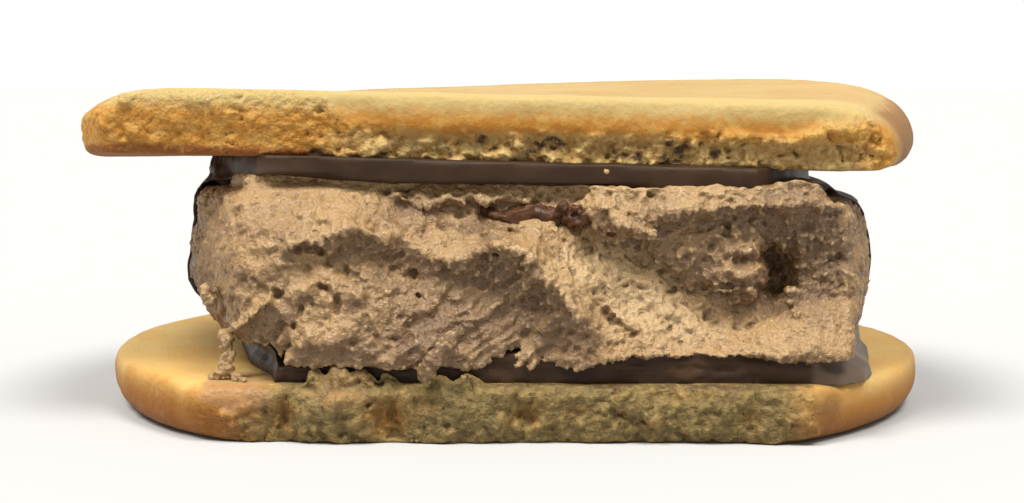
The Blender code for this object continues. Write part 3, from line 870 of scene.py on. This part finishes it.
# the torn face, followed along its crests and troughs: across, up, depth behind the bite
faceLines = [
    # under the chocolate on the left and in the middle, then the ledge on the right
    [(-23.0, 19.8, 3.2), (-17.0, 19.6, 3.4), (-12.0, 19.5, 3.4), (-8.0, 19.4, 3.6), (-2.0, 19.3, 3.6),
     (4.4, 19.2, 3.4)],
    [(7.0, 19.2, 1.3), (12.0, 19.2, 1.2), (18.0, 19.1, 1.1), (23.0, 18.9, 1.3), (26.0, 18.7, 2.4)],
    # crest of the left lobe, running down into the middle
    [(-22.8, 12.5, -0.2), (-20.5, 13.8, -0.9), (-17.7, 14.9, -1.3), (-16.2, 15.3, -1.4), (-14.7, 16.0, -1.2),
     (-13.0, 16.7, -0.8), (-11.3, 16.7, -0.3), (-9.8, 15.9, -0.2), (-8.2, 15.4, 0.1), (-7.0, 14.6, 0.0),
     (-5.2, 14.1, -0.4), (-3.0, 14.5, -0.9), (-1.1, 15.2, -1.5), (0.4, 15.3, -1.7)],
    # crest of the middle lobe, down its right side and along the shelf
    [(1.5, 14.0, -1.9), (2.6, 12.8, -2.0), (3.6, 11.3, -2.1), (4.5, 9.9, -1.9), (6.0, 9.0, -1.3),
     (7.3, 7.9, -0.9), (9.0, 7.4, -0.8), (11.3, 7.0, -0.8), (13.5, 6.9, -0.7), (16.0, 7.4, -0.7),
     (18.9, 7.6, -0.5), (22.0, 8.0, -0.4), (23.8, 8.9, 0.0)],
    # the faces that turn under below those crests
    [(-21.5, 11.0, -0.3), (-18.5, 12.6, -1.0), (-15.8, 13.8, -0.7), (-13.5, 14.6, 0.1),
     (-11.5, 14.9, 0.6), (-9.4, 14.3, 1.0), (-7.2, 13.2, 0.8), (-5.0, 12.7, 0.4), (-2.2, 13.2, 0.2),
     (0.4, 12.9, 0.1), (2.0, 10.9, -0.2)],
    # the full parts lower down
    [(-20.4, 9.2, -0.2), (-17.0, 10.4, -1.0), (-13.0, 11.8, -1.3), (-9.5, 10.8, -0.9), (-6.0, 9.6, -0.3),
     (-2.0, 9.4, 0.0), (1.0, 8.6, -0.1), (3.6, 7.9, -0.4)],
    # the lower edge, over the plate on the left and on it at the right
    [(-19.8, 7.2, 0.8), (-17.8, 6.8, -0.2), (-14.0, 6.2, -1.2), (-10.0, 5.9, -1.4), (-6.0, 5.6, -1.1),
     (-2.0, 5.5, -0.9), (2.5, 5.6, -0.8), (5.0, 6.5, -0.7)],
    # the slope that runs back from the crests to the caramel
    [(-19.0, 17.2, 0.6), (-16.0, 17.7, 0.6), (-13.0, 18.4, 1.6), (-9.0, 17.4, 2.2), (-5.0, 16.4, 2.4),
     (-1.5, 17.0, 2.8), (2.0, 16.3, 1.3), (4.0, 15.6, 2.1)],
    # the saddle and the shelf, rising to the hollow
    [(3.0, 14.3, 0.2), (4.8, 12.6, 0.2), (6.5, 11.0, 0.2), (8.5, 9.9, 0.4)],
    [(5.5, 14.9, 2.3), (7.5, 13.2, 2.0), (9.5, 11.8, 1.9), (11.5, 10.2, 1.7), (14.0, 9.0, 1.5),
     (18.0, 8.9, 1.4), (21.5, 9.3, 1.3)],
    [(7.5, 15.0, 2.7), (10.0, 13.6, 2.8), (12.3, 12.2, 3.0), (14.5, 10.9, 3.1), (17.5, 10.2, 3.2),
     (20.5, 10.3, 3.1)],
    # the ledge's lower edge, the wall below it and the scoop at its foot
    [(6.2, 17.2, 1.2), (8.0, 16.2, 0.6), (9.6, 15.8, 0.5), (10.6, 16.9, 0.7), (12.4, 18.1, 0.7),
     (16.2, 18.1, 0.6), (20.0, 18.3, 0.6), (22.5, 18.2, 0.9), (25.5, 17.8, 2.1)],
    [(8.0, 15.0, 2.1), (11.0, 16.2, 1.7), (14.0, 17.0, 1.8), (18.0, 17.1, 1.8), (20.5, 16.8, 2.2),
     (22.8, 16.2, 2.0)],
    [(10.5, 14.8, 2.2), (13.0, 15.0, 1.8), (16.0, 15.0, 1.4), (18.5, 14.7, 1.2), (20.4, 14.6, 3.2)],
    [(12.0, 13.6, 1.9), (15.0, 13.9, 1.2), (18.0, 14.1, 1.0)],
    [(19.6, 13.7, 5.6), (19.9, 12.4, 6.2), (19.8, 11.2, 5.4)],
    # the right wall and its outer edge
    [(22.3, 15.5, 2.8), (22.6, 13.5, 3.4), (22.8, 11.5, 3.0)],
    [(25.2, 16.5, 2.4), (25.4, 13.5, 2.6), (25.2, 10.5, 2.2)],
    # the lump that hangs beside the scoop
    [(13.8, 13.0, 1.8), (16.0, 12.9, 0.6), (18.0, 12.8, 0.5)],
    [(14.5, 11.8, 3.2), (16.4, 11.4, 1.6), (18.4, 11.0, 2.0)],
]

# strokes standing out of the face: path in (across, up), width, height, droop
creamStrokes = [
    ([(-16.5, 15.6), (-14.7, 16.2), (-13.0, 16.9), (-11.3, 16.9), (-9.8, 16.1)], 0.8, 0.6, 0.6),
    ([(-1.6, 15.3), (0.2, 15.6), (1.5, 14.4), (2.7, 13.1), (3.7, 11.5), (4.6, 10.1)], 0.6, 0.6, 0.2),
    ([(6.6, 18.3), (8.2, 16.6), (10.0, 16.4), (12.0, 18.2), (18.0, 18.3), (24.0, 18.2)], 0.5, 0.5, 0.4),
    ([(5.0, 6.6), (8.5, 7.0), (12.0, 6.7), (16.0, 7.0), (20.0, 7.4), (23.2, 8.2)], 0.5, 0.4, 0.2),
    ([(-21.3, 8.9), (-20.0, 9.8), (-18.9, 10.6), (-18.5, 11.5)], 0.42, 0.9, 0.3),
    ([(-17.5, 7.6), (-15.5, 8.6), (-13.6, 8.8), (-11.8, 9.6)], 0.5, 0.45, 0.4),
    ([(-16.8, 11.4), (-14.6, 12.9), (-12.6, 12.6), (-11.4, 11.4)], 0.6, 0.5, 0.4),
    ([(-9.8, 7.6), (-7.6, 8.4), (-5.4, 8.2)], 0.5, 0.4, 0.2),
    ([(-3.2, 9.4), (-1.0, 10.8), (0.8, 12.0)], 0.7, 0.3, 0.1),
    ([(-1.0, 6.6), (1.4, 8.0), (3.2, 9.4)], 0.6, 0.3, 0.1),
    ([(10.5, 15.9), (13.6, 15.5), (17.0, 15.8)], 0.5, 0.3, 0.3),
    ([(12.5, 14.4), (15.5, 14.4), (18.0, 14.9)], 0.4, 0.35, 0.3),
    ([(-9.4, 18.9), (-8.2, 18.5), (-7.2, 18.8)], 0.4, 0.8, 0.2),
    ([(-6.6, 18.4), (-5.2, 18.8), (-4.2, 18.4)], 0.5, 1.0, 0.2),
    ([(-3.4, 18.9), (-1.8, 18.5), (-0.4, 18.8), (0.8, 18.4)], 0.45, 0.9, 0.2),
    ([(-7.6, 18.0), (-5.8, 18.0)], 0.3, 0.5, 0.2), ([(-2.6, 18.2), (-1.4, 18.0)], 0.3, 0.5, 0.2),
]

# cracks and creases cut into the face: path, width, depth
creamCracks = [
    ([(6.9, 10.0), (7.3, 9.3), (8.3, 8.9), (9.2, 8.4)], 0.15, 1.2),
    ([(5.6, 9.4), (6.6, 9.9), (7.4, 10.1)], 0.16, 0.5),
    ([(3.6, 16.7), (4.8, 16.2), (5.8, 15.2), (5.9, 14.6)], 0.32, 1.6),
    ([(-16.3, 15.0), (-15.6, 15.1), (-14.6, 14.7)], 0.34, 1.0),
    ([(-13.4, 13.2), (-12.2, 13.0), (-11.2, 12.0), (-11.0, 11.2)], 0.2, 0.7),
    ([(-14.6, 12.0), (-13.6, 11.2), (-13.4, 10.2)], 0.2, 0.6),
    ([(-19.0, 11.8), (-17.8, 11.4), (-17.2, 11.8)], 0.2, 0.5),
    ([(-18.2, 8.6), (-17.4, 9.4), (-16.6, 9.0)], 0.18, 0.5),
    ([(-17.8, 7.3), (-17.6, 8.0), (-17.0, 8.3)], 0.22, 0.7),
    ([(17.0, 13.7), (18.6, 13.8), (20.2, 14.3)], 0.2, 1.2),
    ([(11.6, 13.2), (12.4, 12.7), (13.2, 12.3)], 0.18, 0.8),
    ([(11.6, 11.2), (12.4, 11.4), (13.2, 11.7)], 0.16, 0.8),
    ([(1.6, 10.8), (2.6, 11.1), (3.4, 11.3)], 0.14, 0.5),
    ([(14.4, 11.7), (16.0, 11.7), (17.4, 11.9)], 0.16, 0.6),
    ([(-9.6, 12.6), (-8.2, 12.6), (-7.4, 12.9)], 0.16, 0.5),
    ([(8.4, 17.9), (9.0, 17.2), (8.8, 16.4)], 0.2, 0.4),
]

# round holes: across, up, radius, depth
creamHoles = [
    (16.3, 16.1, 0.42, 0.9), (-20.0, 17.3, 0.22, 0.5), (-16.2, 16.6, 0.26, 0.6), (-15.0, 16.2, 0.14, 0.4),
    (-18.6, 15.9, 0.16, 0.4), (-22.2, 16.6, 0.2, 0.5), (-23.0, 14.2, 0.24, 0.5), (-19.6, 15.0, 0.14, 0.3),
    (-2.0, 14.0, 0.34, 0.8), (-1.4, 14.4, 0.2, 0.6), (0.4, 13.6, 0.32, 0.7), (-5.0, 11.0, 0.25, 0.6),
    (-7.3, 11.2, 0.22, 0.5), (-5.9, 12.0, 0.2, 0.5), (20.6, 17.0, 0.3, 0.6), (-11.9, 12.4, 0.14, 0.5),
    (-16.9, 8.1, 0.18, 0.5), (12.2, 10.4, 0.2, 0.5),
]

# clumps that stand out of the face or back its lip: place, half sizes, lean in degrees
creamClumps = [
    ((16.5, -22.4, 12.1), (1.5, 1.2, 0.8), 10), ((17.9, -22.6, 11.5), (0.8, 0.8, 0.6), -20),
    ((14.8, -22.2, 12.7), (0.9, 0.8, 0.6), 0), ((21.3, -22.4, 10.9), (0.5, 0.6, 0.8), 15),
    ((22.0, -23.0, 9.8), (0.7, 0.6, 0.5), 0), ((7.4, -23.0, 18.2), (1.2, 1.0, 0.8), 0),
    ((9.2, -23.8, 17.2), (1.2, 0.9, 0.7), 30), ((10.0, -24.0, 16.2), (0.7, 0.7, 0.5), -30),
    ((-24.0, -20.4, 10.8), (0.5, 0.6, 1.0), 25), ((21.8, -24.0, 8.3), (1.0, 0.55, 0.8), 0),
    ((-22.2, -22.6, 7.6), (0.5, 0.6, 0.9), 10), ((-22.1, -22.8, 6.2), (0.45, 0.5, 0.7), -20),
]

creamCurls = [  # from thick to thin: path and the radius at each end
    ([(-6.7, -26.2, 7.1), (-6.4, -26.8, 7.6), (-5.7, -26.8, 8.0), (-4.7, -26.0, 8.3)], 0.58, 0.46),
    ([(-21.2, -24.4, 9.0), (-20.2, -25.2, 9.8), (-19.0, -25.6, 10.9)], 0.36, 0.26),
]


def creamDepth(x, z):  # a soft sheet through the face lines, stiff enough to keep their creases
    known = []
    for line in faceLines:
        for start, end in zip(line, line[1:]):
            steps = max(1, round(np.hypot(end[0] - start[0], end[1] - start[1]) / creamLook["lineStep"]))
            known += [np.array(start) + (np.array(end) - start) * i / steps for i in range(steps)]
        known.append(np.array(line[-1]))
    known = np.array(known)
    gaps = np.hypot(known[:, None, 0] - known[None, :, 0], known[:, None, 1] - known[None, :, 1])
    mean = known[:, 2].mean()
    weights = np.linalg.solve(gaps + creamLook["stiffness"] * np.eye(len(known)), known[:, 2] - mean)
    step = creamLook["gridStep"]
    across, up = np.arange(-30.0, 31.0, step), np.arange(2.0, 23.0, step)
    gridX, gridZ = np.meshgrid(across, up)
    sheet = np.full(gridX.shape, mean)
    for (px, pz, _), weight in zip(known, weights):
        sheet += weight * np.hypot(gridX - px, gridZ - pz)
    column = np.clip((x - across[0]) / step, 0, len(across) - 1.001)
    row = np.clip((z - up[0]) / step, 0, len(up) - 1.001)
    i, j = column.astype(int), row.astype(int)
    u, v = column - i, row - j
    return ((sheet[j, i] * (1 - u) + sheet[j, i + 1] * u) * (1 - v)
            + (sheet[j + 1, i] * (1 - u) + sheet[j + 1, i + 1] * u) * v)


def strokeShare(x, z, path, width):  # 1 on the path, falling off beside it
    nearest = np.full(len(x), np.inf)
    for (x0, z0), (x1, z1) in zip(path, path[1:]):
        run = np.array([x1 - x0, z1 - z0])
        share = np.clip(((x - x0) * run[0] + (z - z0) * run[1]) / (run @ run), 0.0, 1.0)
        nearest = np.minimum(nearest, np.hypot(x - x0 - share * run[0], z - z0 - share * run[1]))
    return np.exp(-((nearest / width) ** 2))


def tornShare(p, n):  # 1 where the bite tore the cream, 0 where the coating holds it
    torn = fall(p[:, 1], -9.5, -7.5)
    torn *= 1 - rise(n[:, 2], 0.5, 0.8) * rise(p[:, 2], 18.6, 19.2)
    torn *= 1 - rise(n[:, 1], 0.2, 0.6) * fall(p[:, 2], 8.5, 10.0)  # not behind the hanging lip
    inside = rise(p[:, 1], -24.4, -23.4)
    return torn * (1 - rise(-n[:, 2], 0.5, 0.8) * fall(p[:, 2], 6.6, 7.4) * inside)


def shapeCreamFace(obj):  # moves the flat face, and less and less of what lies behind it
    p = getPoints(obj)
    mesh = obj.data
    tree = BVHTree.FromPolygons([v.co for v in mesh.vertices], [q.vertices for q in mesh.polygons])
    before = np.full(len(p), np.inf)  # where the flat face lies in front of each point
    start = -80.0 * mm + centre[1]
    for i in np.nonzero(p[:, 1] < -12.0)[0].tolist():
        co = mesh.vertices[i].co
        hit = tree.ray_cast(Vector((co.x, start, co.z)), Vector((0, 1, 0)))[0]
        if hit:
            before[i] = (hit.y - centre[1]) / mm
    near = np.isfinite(before)
    q = p[near]
    ends = rise(-q[:, 0], 19.5, 23.0) + rise(q[:, 0], 25.0, 27.5)
    across = q[:, 0] + 0.9 * grain(q, 3.0, 50.0, octaves=2)  # straying a little from the lines
    up = q[:, 2] + 0.7 * grain(q, 2.6, 60.0, octaves=2) * fall(q[:, 2], 17.0, 18.5)
    target = creamLook["faceY"] + creamDepth(across, up)
    share = fall(q[:, 1] - before[near], 0.0, creamLook["reach"]) * (1 - ends)
    p[near, 1] += (target - before[near]) * share
    return p


def makeCream():
    obj = copyNode("cream_filling", "whippedCream")
    voxelRemesh(obj, creamLook["coarse"])
    p = shapeCreamFace(obj)
    n = getNormals(obj)
    held = 1 - tornShare(p, n)
    p += n * (creamLook["pressed"] * held)[:, None]
    bare = (1 - held) * rise(np.abs(p[:, 0]), 19.0, 23.0) * fall(p[:, 1], -11.0, -8.0)
    p += n * (creamLook["swollen"] * bare)[:, None]
    p[:, 2] += 0.5 * rise(p[:, 0], 18.0, 22.0) * rise(p[:, 2], 17.6, 18.8) * fall(p[:, 1], -18.0, -14.0)
    tucked = rise(p[:, 1], -13.0, -9.0)  # behind the tear it follows the coating
    reach = np.hypot(p[:, 0] - coatingLook["middle"][0], p[:, 1] - coatingLook["middle"][1])
    sunk = rise(p[:, 0], 7.0, 13.0) * rise(reach, 23.6, 25.2) * rise(p[:, 2], 17.0, 18.6)
    p[:, 2] -= creamLook["sunk"] * tucked * sunk
    p[:, 0] += tucked * footLean(p[:, 0], p[:, 1], p[:, 2])
    setPoints(obj, p)
    smoothSurface(obj, 2)
    parts = []
    for place, half, lean in creamClumps:
        addClump(parts, place, half, lean)
    for path, thick, thin in creamCurls:
        addCurl(parts, path, thick, thin)
    joinAll(obj, parts)
    voxelRemesh(obj, creamLook["fine"])
    smoothSurface(obj, 1)

    p = getPoints(obj)
    x, z = p[:, 0], p[:, 2]
    front = fall(p[:, 1], -19.0, -16.0)
    move = np.zeros_like(p)
    drop = creamLook["overhang"] * rise(x, -21.0, -19.4) * (1 - 0.6 * rise(x, 4.0, 9.0))
    within = p[:, 1] - 0.9 * rise(x, 4.0, 9.0)
    move[:, 2] -= drop * fall(z, 6.6, 9.5) * fall(within, -24.9, -24.2)
    top = rise(z, 17.6, 18.8) * fall(p[:, 1], -20.0, -18.0) * rise(x, 5.0, 7.0)
    ragged = 0.2 + 0.35 * grain(p, 2.8, 21.0) + 0.3 * grain(p, 0.9, 22.0, octaves=2)
    move[:, 2] -= top * ragged  # the ledge's lower edge
    for path, width, height, droop in creamStrokes:
        share = strokeShare(x, z, path, width) * height * front
        move[:, 1] -= share
        move[:, 2] -= share * droop
    wander = 0.18 * grain(p, 0.7, 2.0)
    for path, width, depth in creamCracks:
        move[:, 1] += strokeShare(x + wander, z + wander, path, width) * depth * front
    for across, up, radius, depth in creamHoles:
        move[:, 1] += np.exp(-(((x - across) ** 2 + (z - up) ** 2) / radius ** 2) ** 1.5) * depth * front
    setPoints(obj, p + move)
    voxelRemesh(obj, creamLook["fine"])

    p, n = getSurface(obj)
    torn = tornShare(p, n)
    live = torn > 0.01
    q = p[live]
    left = fall(q[:, 0], -8.0, -3.0)
    middle = rise(q[:, 0], -8.0, -4.0) * fall(q[:, 0], 3.0, 7.0) * fall(q[:, 2], 14.0, 15.5)
    right = rise(q[:, 0], 2.0, 6.0)
    wobble = np.stack([grain(q, 1.5, 3.0 * i) for i in range(3)], axis=1) * 0.6
    w = q + wobble
    diagonal = np.array(Matrix.Rotation(radians(-38), 3, "Y"))
    slanted = np.array(Matrix.Rotation(radians(20), 3, "Y"))
    relief = (0.24 + 0.2 * right) * grain(q, 3.6, 5.0) + 0.30 * grain(w, 1.9, 6.0, octaves=2, fade=0.7)
    relief -= 0.16 * fall(np.abs(grain(w, 2.2, 8.0)), 0.0, 0.10) * rise(grain(q, 3.0, 40.0), 0.0, 0.2)
    relief += (0.50 - 0.1 * middle) * crests(w, 0.95, 9.0)
    relief += 0.42 * (1 - middle) * crests(w, 0.5, 29.0, turn=slanted, stretch=(1.6, 1.0, 1.0))
    fibres = grain(w, 0.5, 4.0, turn=diagonal, stretch=(4.0, 1.0, 1.0), octaves=2)
    relief += 0.42 * middle * np.maximum(fibres, -0.3)
    relief -= 0.22 * rise(grain(q, 0.5, 14.0), 0.5, 0.65) * left * bell(q[:, 2], 16.2, 2.0)  # bubbles
    thin = rise(q[:, 0], 17.0, 20.0) * fall(q[:, 2], 10.5, 11.5)
    relief = np.maximum(relief, thin - 1.0)  # the lip at the right has no room for hollows
    depth = np.zeros(len(p))
    calm = 1 - 0.5 * fall(q[:, 2], 5.0, 7.6)  # calmer along the thin lower edge
    depth[live] = relief * torn[live] * calm
    p += n * depth[:, None]
    sag = 0.2 + 0.3 * rise(p[:, 2], 8.5, 10.0)
    p[:, 2] -= sag * np.maximum(depth, 0.0)  # what stands out sags a little
    setPoints(obj, p)
    voxelRemesh(obj, creamLook["fine"])
    dropBits(obj, creamLook["leastBit"])

    p, n = getSurface(obj)
    torn = tornShare(p, n)
    live = torn > 0.01
    q = p[live]
    fine = np.zeros(len(p))
    crisp = 0.9 + 0.3 * rise(q[:, 0], 2.0, 6.0)
    grains = np.maximum(grain(q, 0.42, 19.0, octaves=2, fade=0.5), -0.15)
    fine[live] = crisp * (0.13 * grains + 0.12 * crests(q, 0.36, 39.0))
    setPoints(obj, p + n * (fine * torn)[:, None])
    thinOut(obj, creamLook["triangles"])
    # how far each point stands out or sinks, for painted shade in creases and hollows and painted highlight
    # on ridges
    setMask(obj, "ridge", hollowMask(obj, 10, 0.16))
    setMask(obj, "swell", hollowMask(obj, 50, 0.5))
    # which way the softened cream faces; faces that look sideways or down get painted shade
    setMask(obj, "raised", facing(obj, 40))
    p = getPoints(obj)
    stray = 1.2 * grain(p, 2.2, 70.0, octaves=2)
    near = fall(p[:, 1], -19.0, -16.0)
    # painted shade in patches where the cream lies in shade
    setMask(obj, "wetAndPaintedShade", spots(p[:, 0] + stray, p[:, 2] + stray, creamLook["paintedShadePatches"]) * near)
    # painted light in patches
    setMask(obj, "paintedLight", spots(p[:, 0] + stray, p[:, 2] - stray, creamLook["paintedLightPatches"]) * near)
    return obj


def creamMaterial():
    sheet = NodeSheet("whippedChocolateCream")
    ridge, swell, raised = sheet.mask("ridge"), sheet.mask("swell"), sheet.mask("raised")
    cloud = sheet.remap(sheet.noise(3.0, 4.0), 0.35, 0.7, 0.0, 0.7)
    color = sheet.mix(cloud, creamLook["lit"], creamLook["warm"])
    # painted shade: faces that look sideways or down, and the shade patches, take the shaded colour
    paintedShade = sheet.math("ADD", sheet.remap(raised, 0.66, 0.34, 0.0, 0.8), sheet.mask("wetAndPaintedShade"))
    color = sheet.mix(sheet.math("MINIMUM", paintedShade, 1.0), color, creamLook["wetAndPaintedShade"])
    # painted light in the light patches
    color = sheet.mix(sheet.math("MULTIPLY", sheet.mask("paintedLight"), 0.9), color, creamLook["paintedHighlight"])
    # painted shade in the small creases and, two lines down, in the broad hollows
    color = sheet.mix(sheet.remap(ridge, 0.40, 0.0, 0.0, 0.45), color, creamLook["paintedCreviceShade"])
    # painted highlight on the ridges
    color = sheet.mix(sheet.remap(ridge, 0.6, 1.0, 0.0, 0.6), color, creamLook["paintedHighlight"])
    color = sheet.mix(sheet.remap(swell, 0.5, 0.0, 0.0, 0.6), color, creamLook["paintedCreviceShade"])
    bump = sheet.bump(sheet.noise(0.30, 2.0, 0.6), 0.24)
    rough = sheet.remap(sheet.noise(0.5, 3.0), 0.35, 0.65, 0.30, 0.55)
    return sheet.finish(color, rough, bump, Subsurface_Weight=0.12, Subsurface_Radius=(1.0, 0.6, 0.35),
                        Subsurface_Scale=0.4 * mm, Specular_IOR_Level=0.5)


# the caramel that oozes out of the cream

caramelLook = {
    "voxel": 0.12,
    "triangles": 24000,
    "glossy": tint(110, 67, 33),
    "dark": tint(78, 47, 26),
    # painted shade for the caramel's creases
    "paintedCreviceShade": tint(52, 32, 18),
    "grains": 70,
    "grainSize": 0.30,
    "height": 17.35,
}


def makeCaramel():
    obj = copyNode("caramel_ribbon", "caramelRibbon")
    parts = []
    for i in range(caramelLook["grains"]):  # sugar grains crowd on the right half
        share = (i * 0.618) % 1.0
        x = 3.4 + 5.6 * share + 0.3 * sin(i * 2.3)
        z = caramelLook["height"] + 0.55 * sin(i * 1.7) - 0.12 * (x - 3.6)
        size = caramelLook["grainSize"] * (0.5 + 0.8 * ((i * 0.37) % 1.0))
        addClump(parts, (x, -22.45 - 0.2 * cos(i * 1.3), z), (size * 1.3, size, size * 0.8), 31.0 * i, 2)
    joinAll(obj, parts)
    voxelRemesh(obj, caramelLook["voxel"])
    smoothSurface(obj, 1)
    p, n = getSurface(obj)
    smooth = fall(p[:, 0], 2.0, 4.0)
    middle = caramelLook["height"] - 0.06 * p[:, 0] + 0.22 * np.sin(1.3 * p[:, 0])
    p[:, 2] += smooth * (middle - 17.3 - 0.35 * (p[:, 2] - 17.2))
    ragged = 0.36 * grain(p, 1.4, 5.0) + (0.26 - 0.14 * smooth) * grain(p, 0.5, 7.0, octaves=2)
    p += n * (0.15 + ragged)[:, None]
    p[:, 1] += 0.4 * smooth * rise(-p[:, 1], 22.0, 22.6)
    setPoints(obj, p)
    thinOut(obj, caramelLook["triangles"])
    # how sunk each point is, for the painted shade in the creases
    setMask(obj, "ridge", hollowMask(obj, 10, 0.15))
    return obj


def caramelMaterial():
    sheet = NodeSheet("darkCaramel")
    cloud = sheet.remap(sheet.noise(0.9, 3.0), 0.35, 0.65)
    color = sheet.mix(cloud, caramelLook["glossy"], caramelLook["dark"])
    # painted shade in the creases
    color = sheet.mix(sheet.remap(sheet.mask("ridge"), 0.5, 0.1), color, caramelLook["paintedCreviceShade"])
    bump = sheet.bump(sheet.noise(0.35, 2.0), 0.06)
    rough = sheet.remap(sheet.noise(0.6, 2.0), 0.35, 0.6, 0.28, 0.58)
    return sheet.finish(color, rough, bump, Subsurface_Weight=0.1, Subsurface_Radius=(1.0, 0.5, 0.25),
                        Subsurface_Scale=0.5 * mm, Specular_IOR_Level=0.28)


# crumbs of cream on the bottom biscuit and under the top one

crumbsLook = {
    "voxel": 0.08,
    "triangles": 30000,
    "crumbs": [  # place and size
        (-22.1, -22.6, 7.6, 0.55), (-22.3, -22.8, 6.9, 0.5), (-22.0, -22.9, 6.2, 0.6),
        (-22.4, -23.1, 5.6, 0.5), (-21.9, -23.2, 5.1, 0.65), (-22.7, -23.3, 4.9, 0.5),
        (-21.3, -23.6, 4.8, 0.45), (-23.3, -23.0, 4.7, 0.35), (-20.8, -24.2, 4.6, 0.35),
        (-3.9, -26.1, 5.2, 0.26), (7.0, -23.0, 20.6, 0.2),
    ],
}


def makeCreamCrumbs():
    parts = []
    for x, y, z, size in crumbsLook["crumbs"]:
        for turn in (0.0, 2.2, 4.3):  # three small lobes to a crumb
            lobe = (x + 0.45 * size * cos(turn + x), y, z + 0.35 * size * sin(turn + x))
            addClump(parts, lobe, (size * 0.62, size * 0.6, size * 0.5), 40 * turn, 2)
    obj = parts.pop()
    obj.name = "creamCrumbs"
    joinAll(obj, parts)
    voxelRemesh(obj, crumbsLook["voxel"])
    p, n = getSurface(obj)
    p += n * (0.20 * grain(p, 0.8, 3.0, octaves=2) + 0.12 * (lumps(p, 0.35, 8.0) - 0.5))[:, None]
    setPoints(obj, p)
    thinOut(obj, crumbsLook["triangles"])
    setMask(obj, "ridge", hollowMask(obj, 8, 0.1))
    for name, value in (("swell", 0.5), ("raised", 0.7), ("wetAndPaintedShade", 0.0), ("paintedLight", 0.0)):  # the same all over
        setMask(obj, name, np.full(len(obj.data.vertices), value))
    return obj


bottomBiscuitFinish = biscuitMaterial("bottomBiscuitCrumb", bottomColors)
topBiscuitFinish = biscuitMaterial("topBiscuitCrumb", topColors)
chocolateFinish = chocolateMaterial()
creamFinish = creamMaterial()
finishPiece(makeBottomBiscuit(), "bottom_biscuit", bottomBiscuitFinish)
finishPiece(makeTopBiscuit(), "top_biscuit", topBiscuitFinish)
finishPiece(makeCoating(), "chocolate_coating", chocolateFinish)
finishPiece(makeCream(), "cream_filling", creamFinish)
finishPiece(makeCaramel(), "caramel_ribbon", caramelMaterial())
finishPiece(makeCreamCrumbs(), "cream_filling", creamFinish)


# floor, light and camera

studio = {
    "floorRadius": 4000.0,
    "floorColor": (0.46, 0.46, 0.47),
    "floorRough": 0.9,
    "skyColor": (1.0, 0.985, 0.96),
    "skyStrength": 0.5,
    "horizonStrength": 1.05,
    "horizonEdge": (0.10, 0.25),    # how far up the brighter band reaches, and where it ends
    "keys": [(-46.0, 58.0, 3.5), (40.0, 62.0, 2.8)],    # degrees round from the front, height, strength
    "keySoftness": 24.0,    # width of each light in degrees
    "keyColor": (1.0, 0.97, 0.91),
}

cameraSetup = {
    "place": (-0.23, -165.0, 27.73),
    "pitch": -5.346,        # degrees up from level
    "roll": 0.178,
    "lens": 65.54,
    "sensor": 36.0,
}


def makeSky():
    world = bpy.data.worlds.new("studioWorld")
    scene.world = world
    world.use_nodes = True
    nodes, links = world.node_tree.nodes, world.node_tree.links
    place = nodes.new("ShaderNodeTexCoord")
    split = nodes.new("ShaderNodeSeparateXYZ")
    height = nodes.new("ShaderNodeMath")
    height.operation = "ABSOLUTE"
    ramp = nodes.new("ShaderNodeMapRange")
    ramp.interpolation_type = "SMOOTHSTEP"
    ramp.inputs["From Min"].default_value, ramp.inputs["From Max"].default_value = studio["horizonEdge"]
    ramp.inputs["To Min"].default_value = studio["horizonStrength"]
    ramp.inputs["To Max"].default_value = studio["skyStrength"]
    background = nodes["Background"]
    background.inputs["Color"].default_value = (*studio["skyColor"], 1.0)
    links.new(place.outputs["Generated"], split.inputs[0])
    links.new(split.outputs["Z"], height.inputs[0])
    links.new(height.outputs[0], ramp.inputs["Value"])
    links.new(ramp.outputs["Result"], background.inputs["Strength"])


def makeStage():
    bm = bmesh.new()
    bmesh.ops.create_circle(bm, cap_ends=True, segments=96, radius=studio["floorRadius"] * mm)
    mesh = bpy.data.meshes.new("floor")
    bm.to_mesh(mesh)
    bm.free()
    floor = addObject("floor", mesh)
    floor.location = centre
    sheet = NodeSheet("paleFloor")
    paleFloor = sheet.finish(studio["floorColor"], studio["floorRough"], Specular_IOR_Level=0.1)
    floor.data.materials.append(paleFloor)
    makeSky()
    for heading, height, strength in studio["keys"]:
        key = bpy.data.lights.new("key", "SUN")
        key.energy = strength
        key.angle = radians(studio["keySoftness"])
        key.color = studio["keyColor"]
        lamp = bpy.data.objects.new("key", key)
        scene.collection.objects.link(lamp)
        lamp.rotation_euler = (radians(90 - height), 0.0, radians(heading))
    scene.view_settings.view_transform = "Standard"


def makeCamera():
    lens = bpy.data.cameras.new("camera")
    lens.lens = cameraSetup["lens"]
    lens.sensor_width = cameraSetup["sensor"]
    lens.clip_start = mm
    camera = bpy.data.objects.new("camera", lens)
    scene.collection.objects.link(camera)
    tilt = Matrix.Rotation(radians(90 + cameraSetup["pitch"]), 4, "X")
    spin = Matrix.Rotation(radians(cameraSetup["roll"]), 4, "Z")
    camera.matrix_world = Matrix.Translation(np.array(cameraSetup["place"]) * mm + centre) @ tilt @ spin
    scene.camera = camera


makeStage()
makeCamera()
print("stage and camera done")
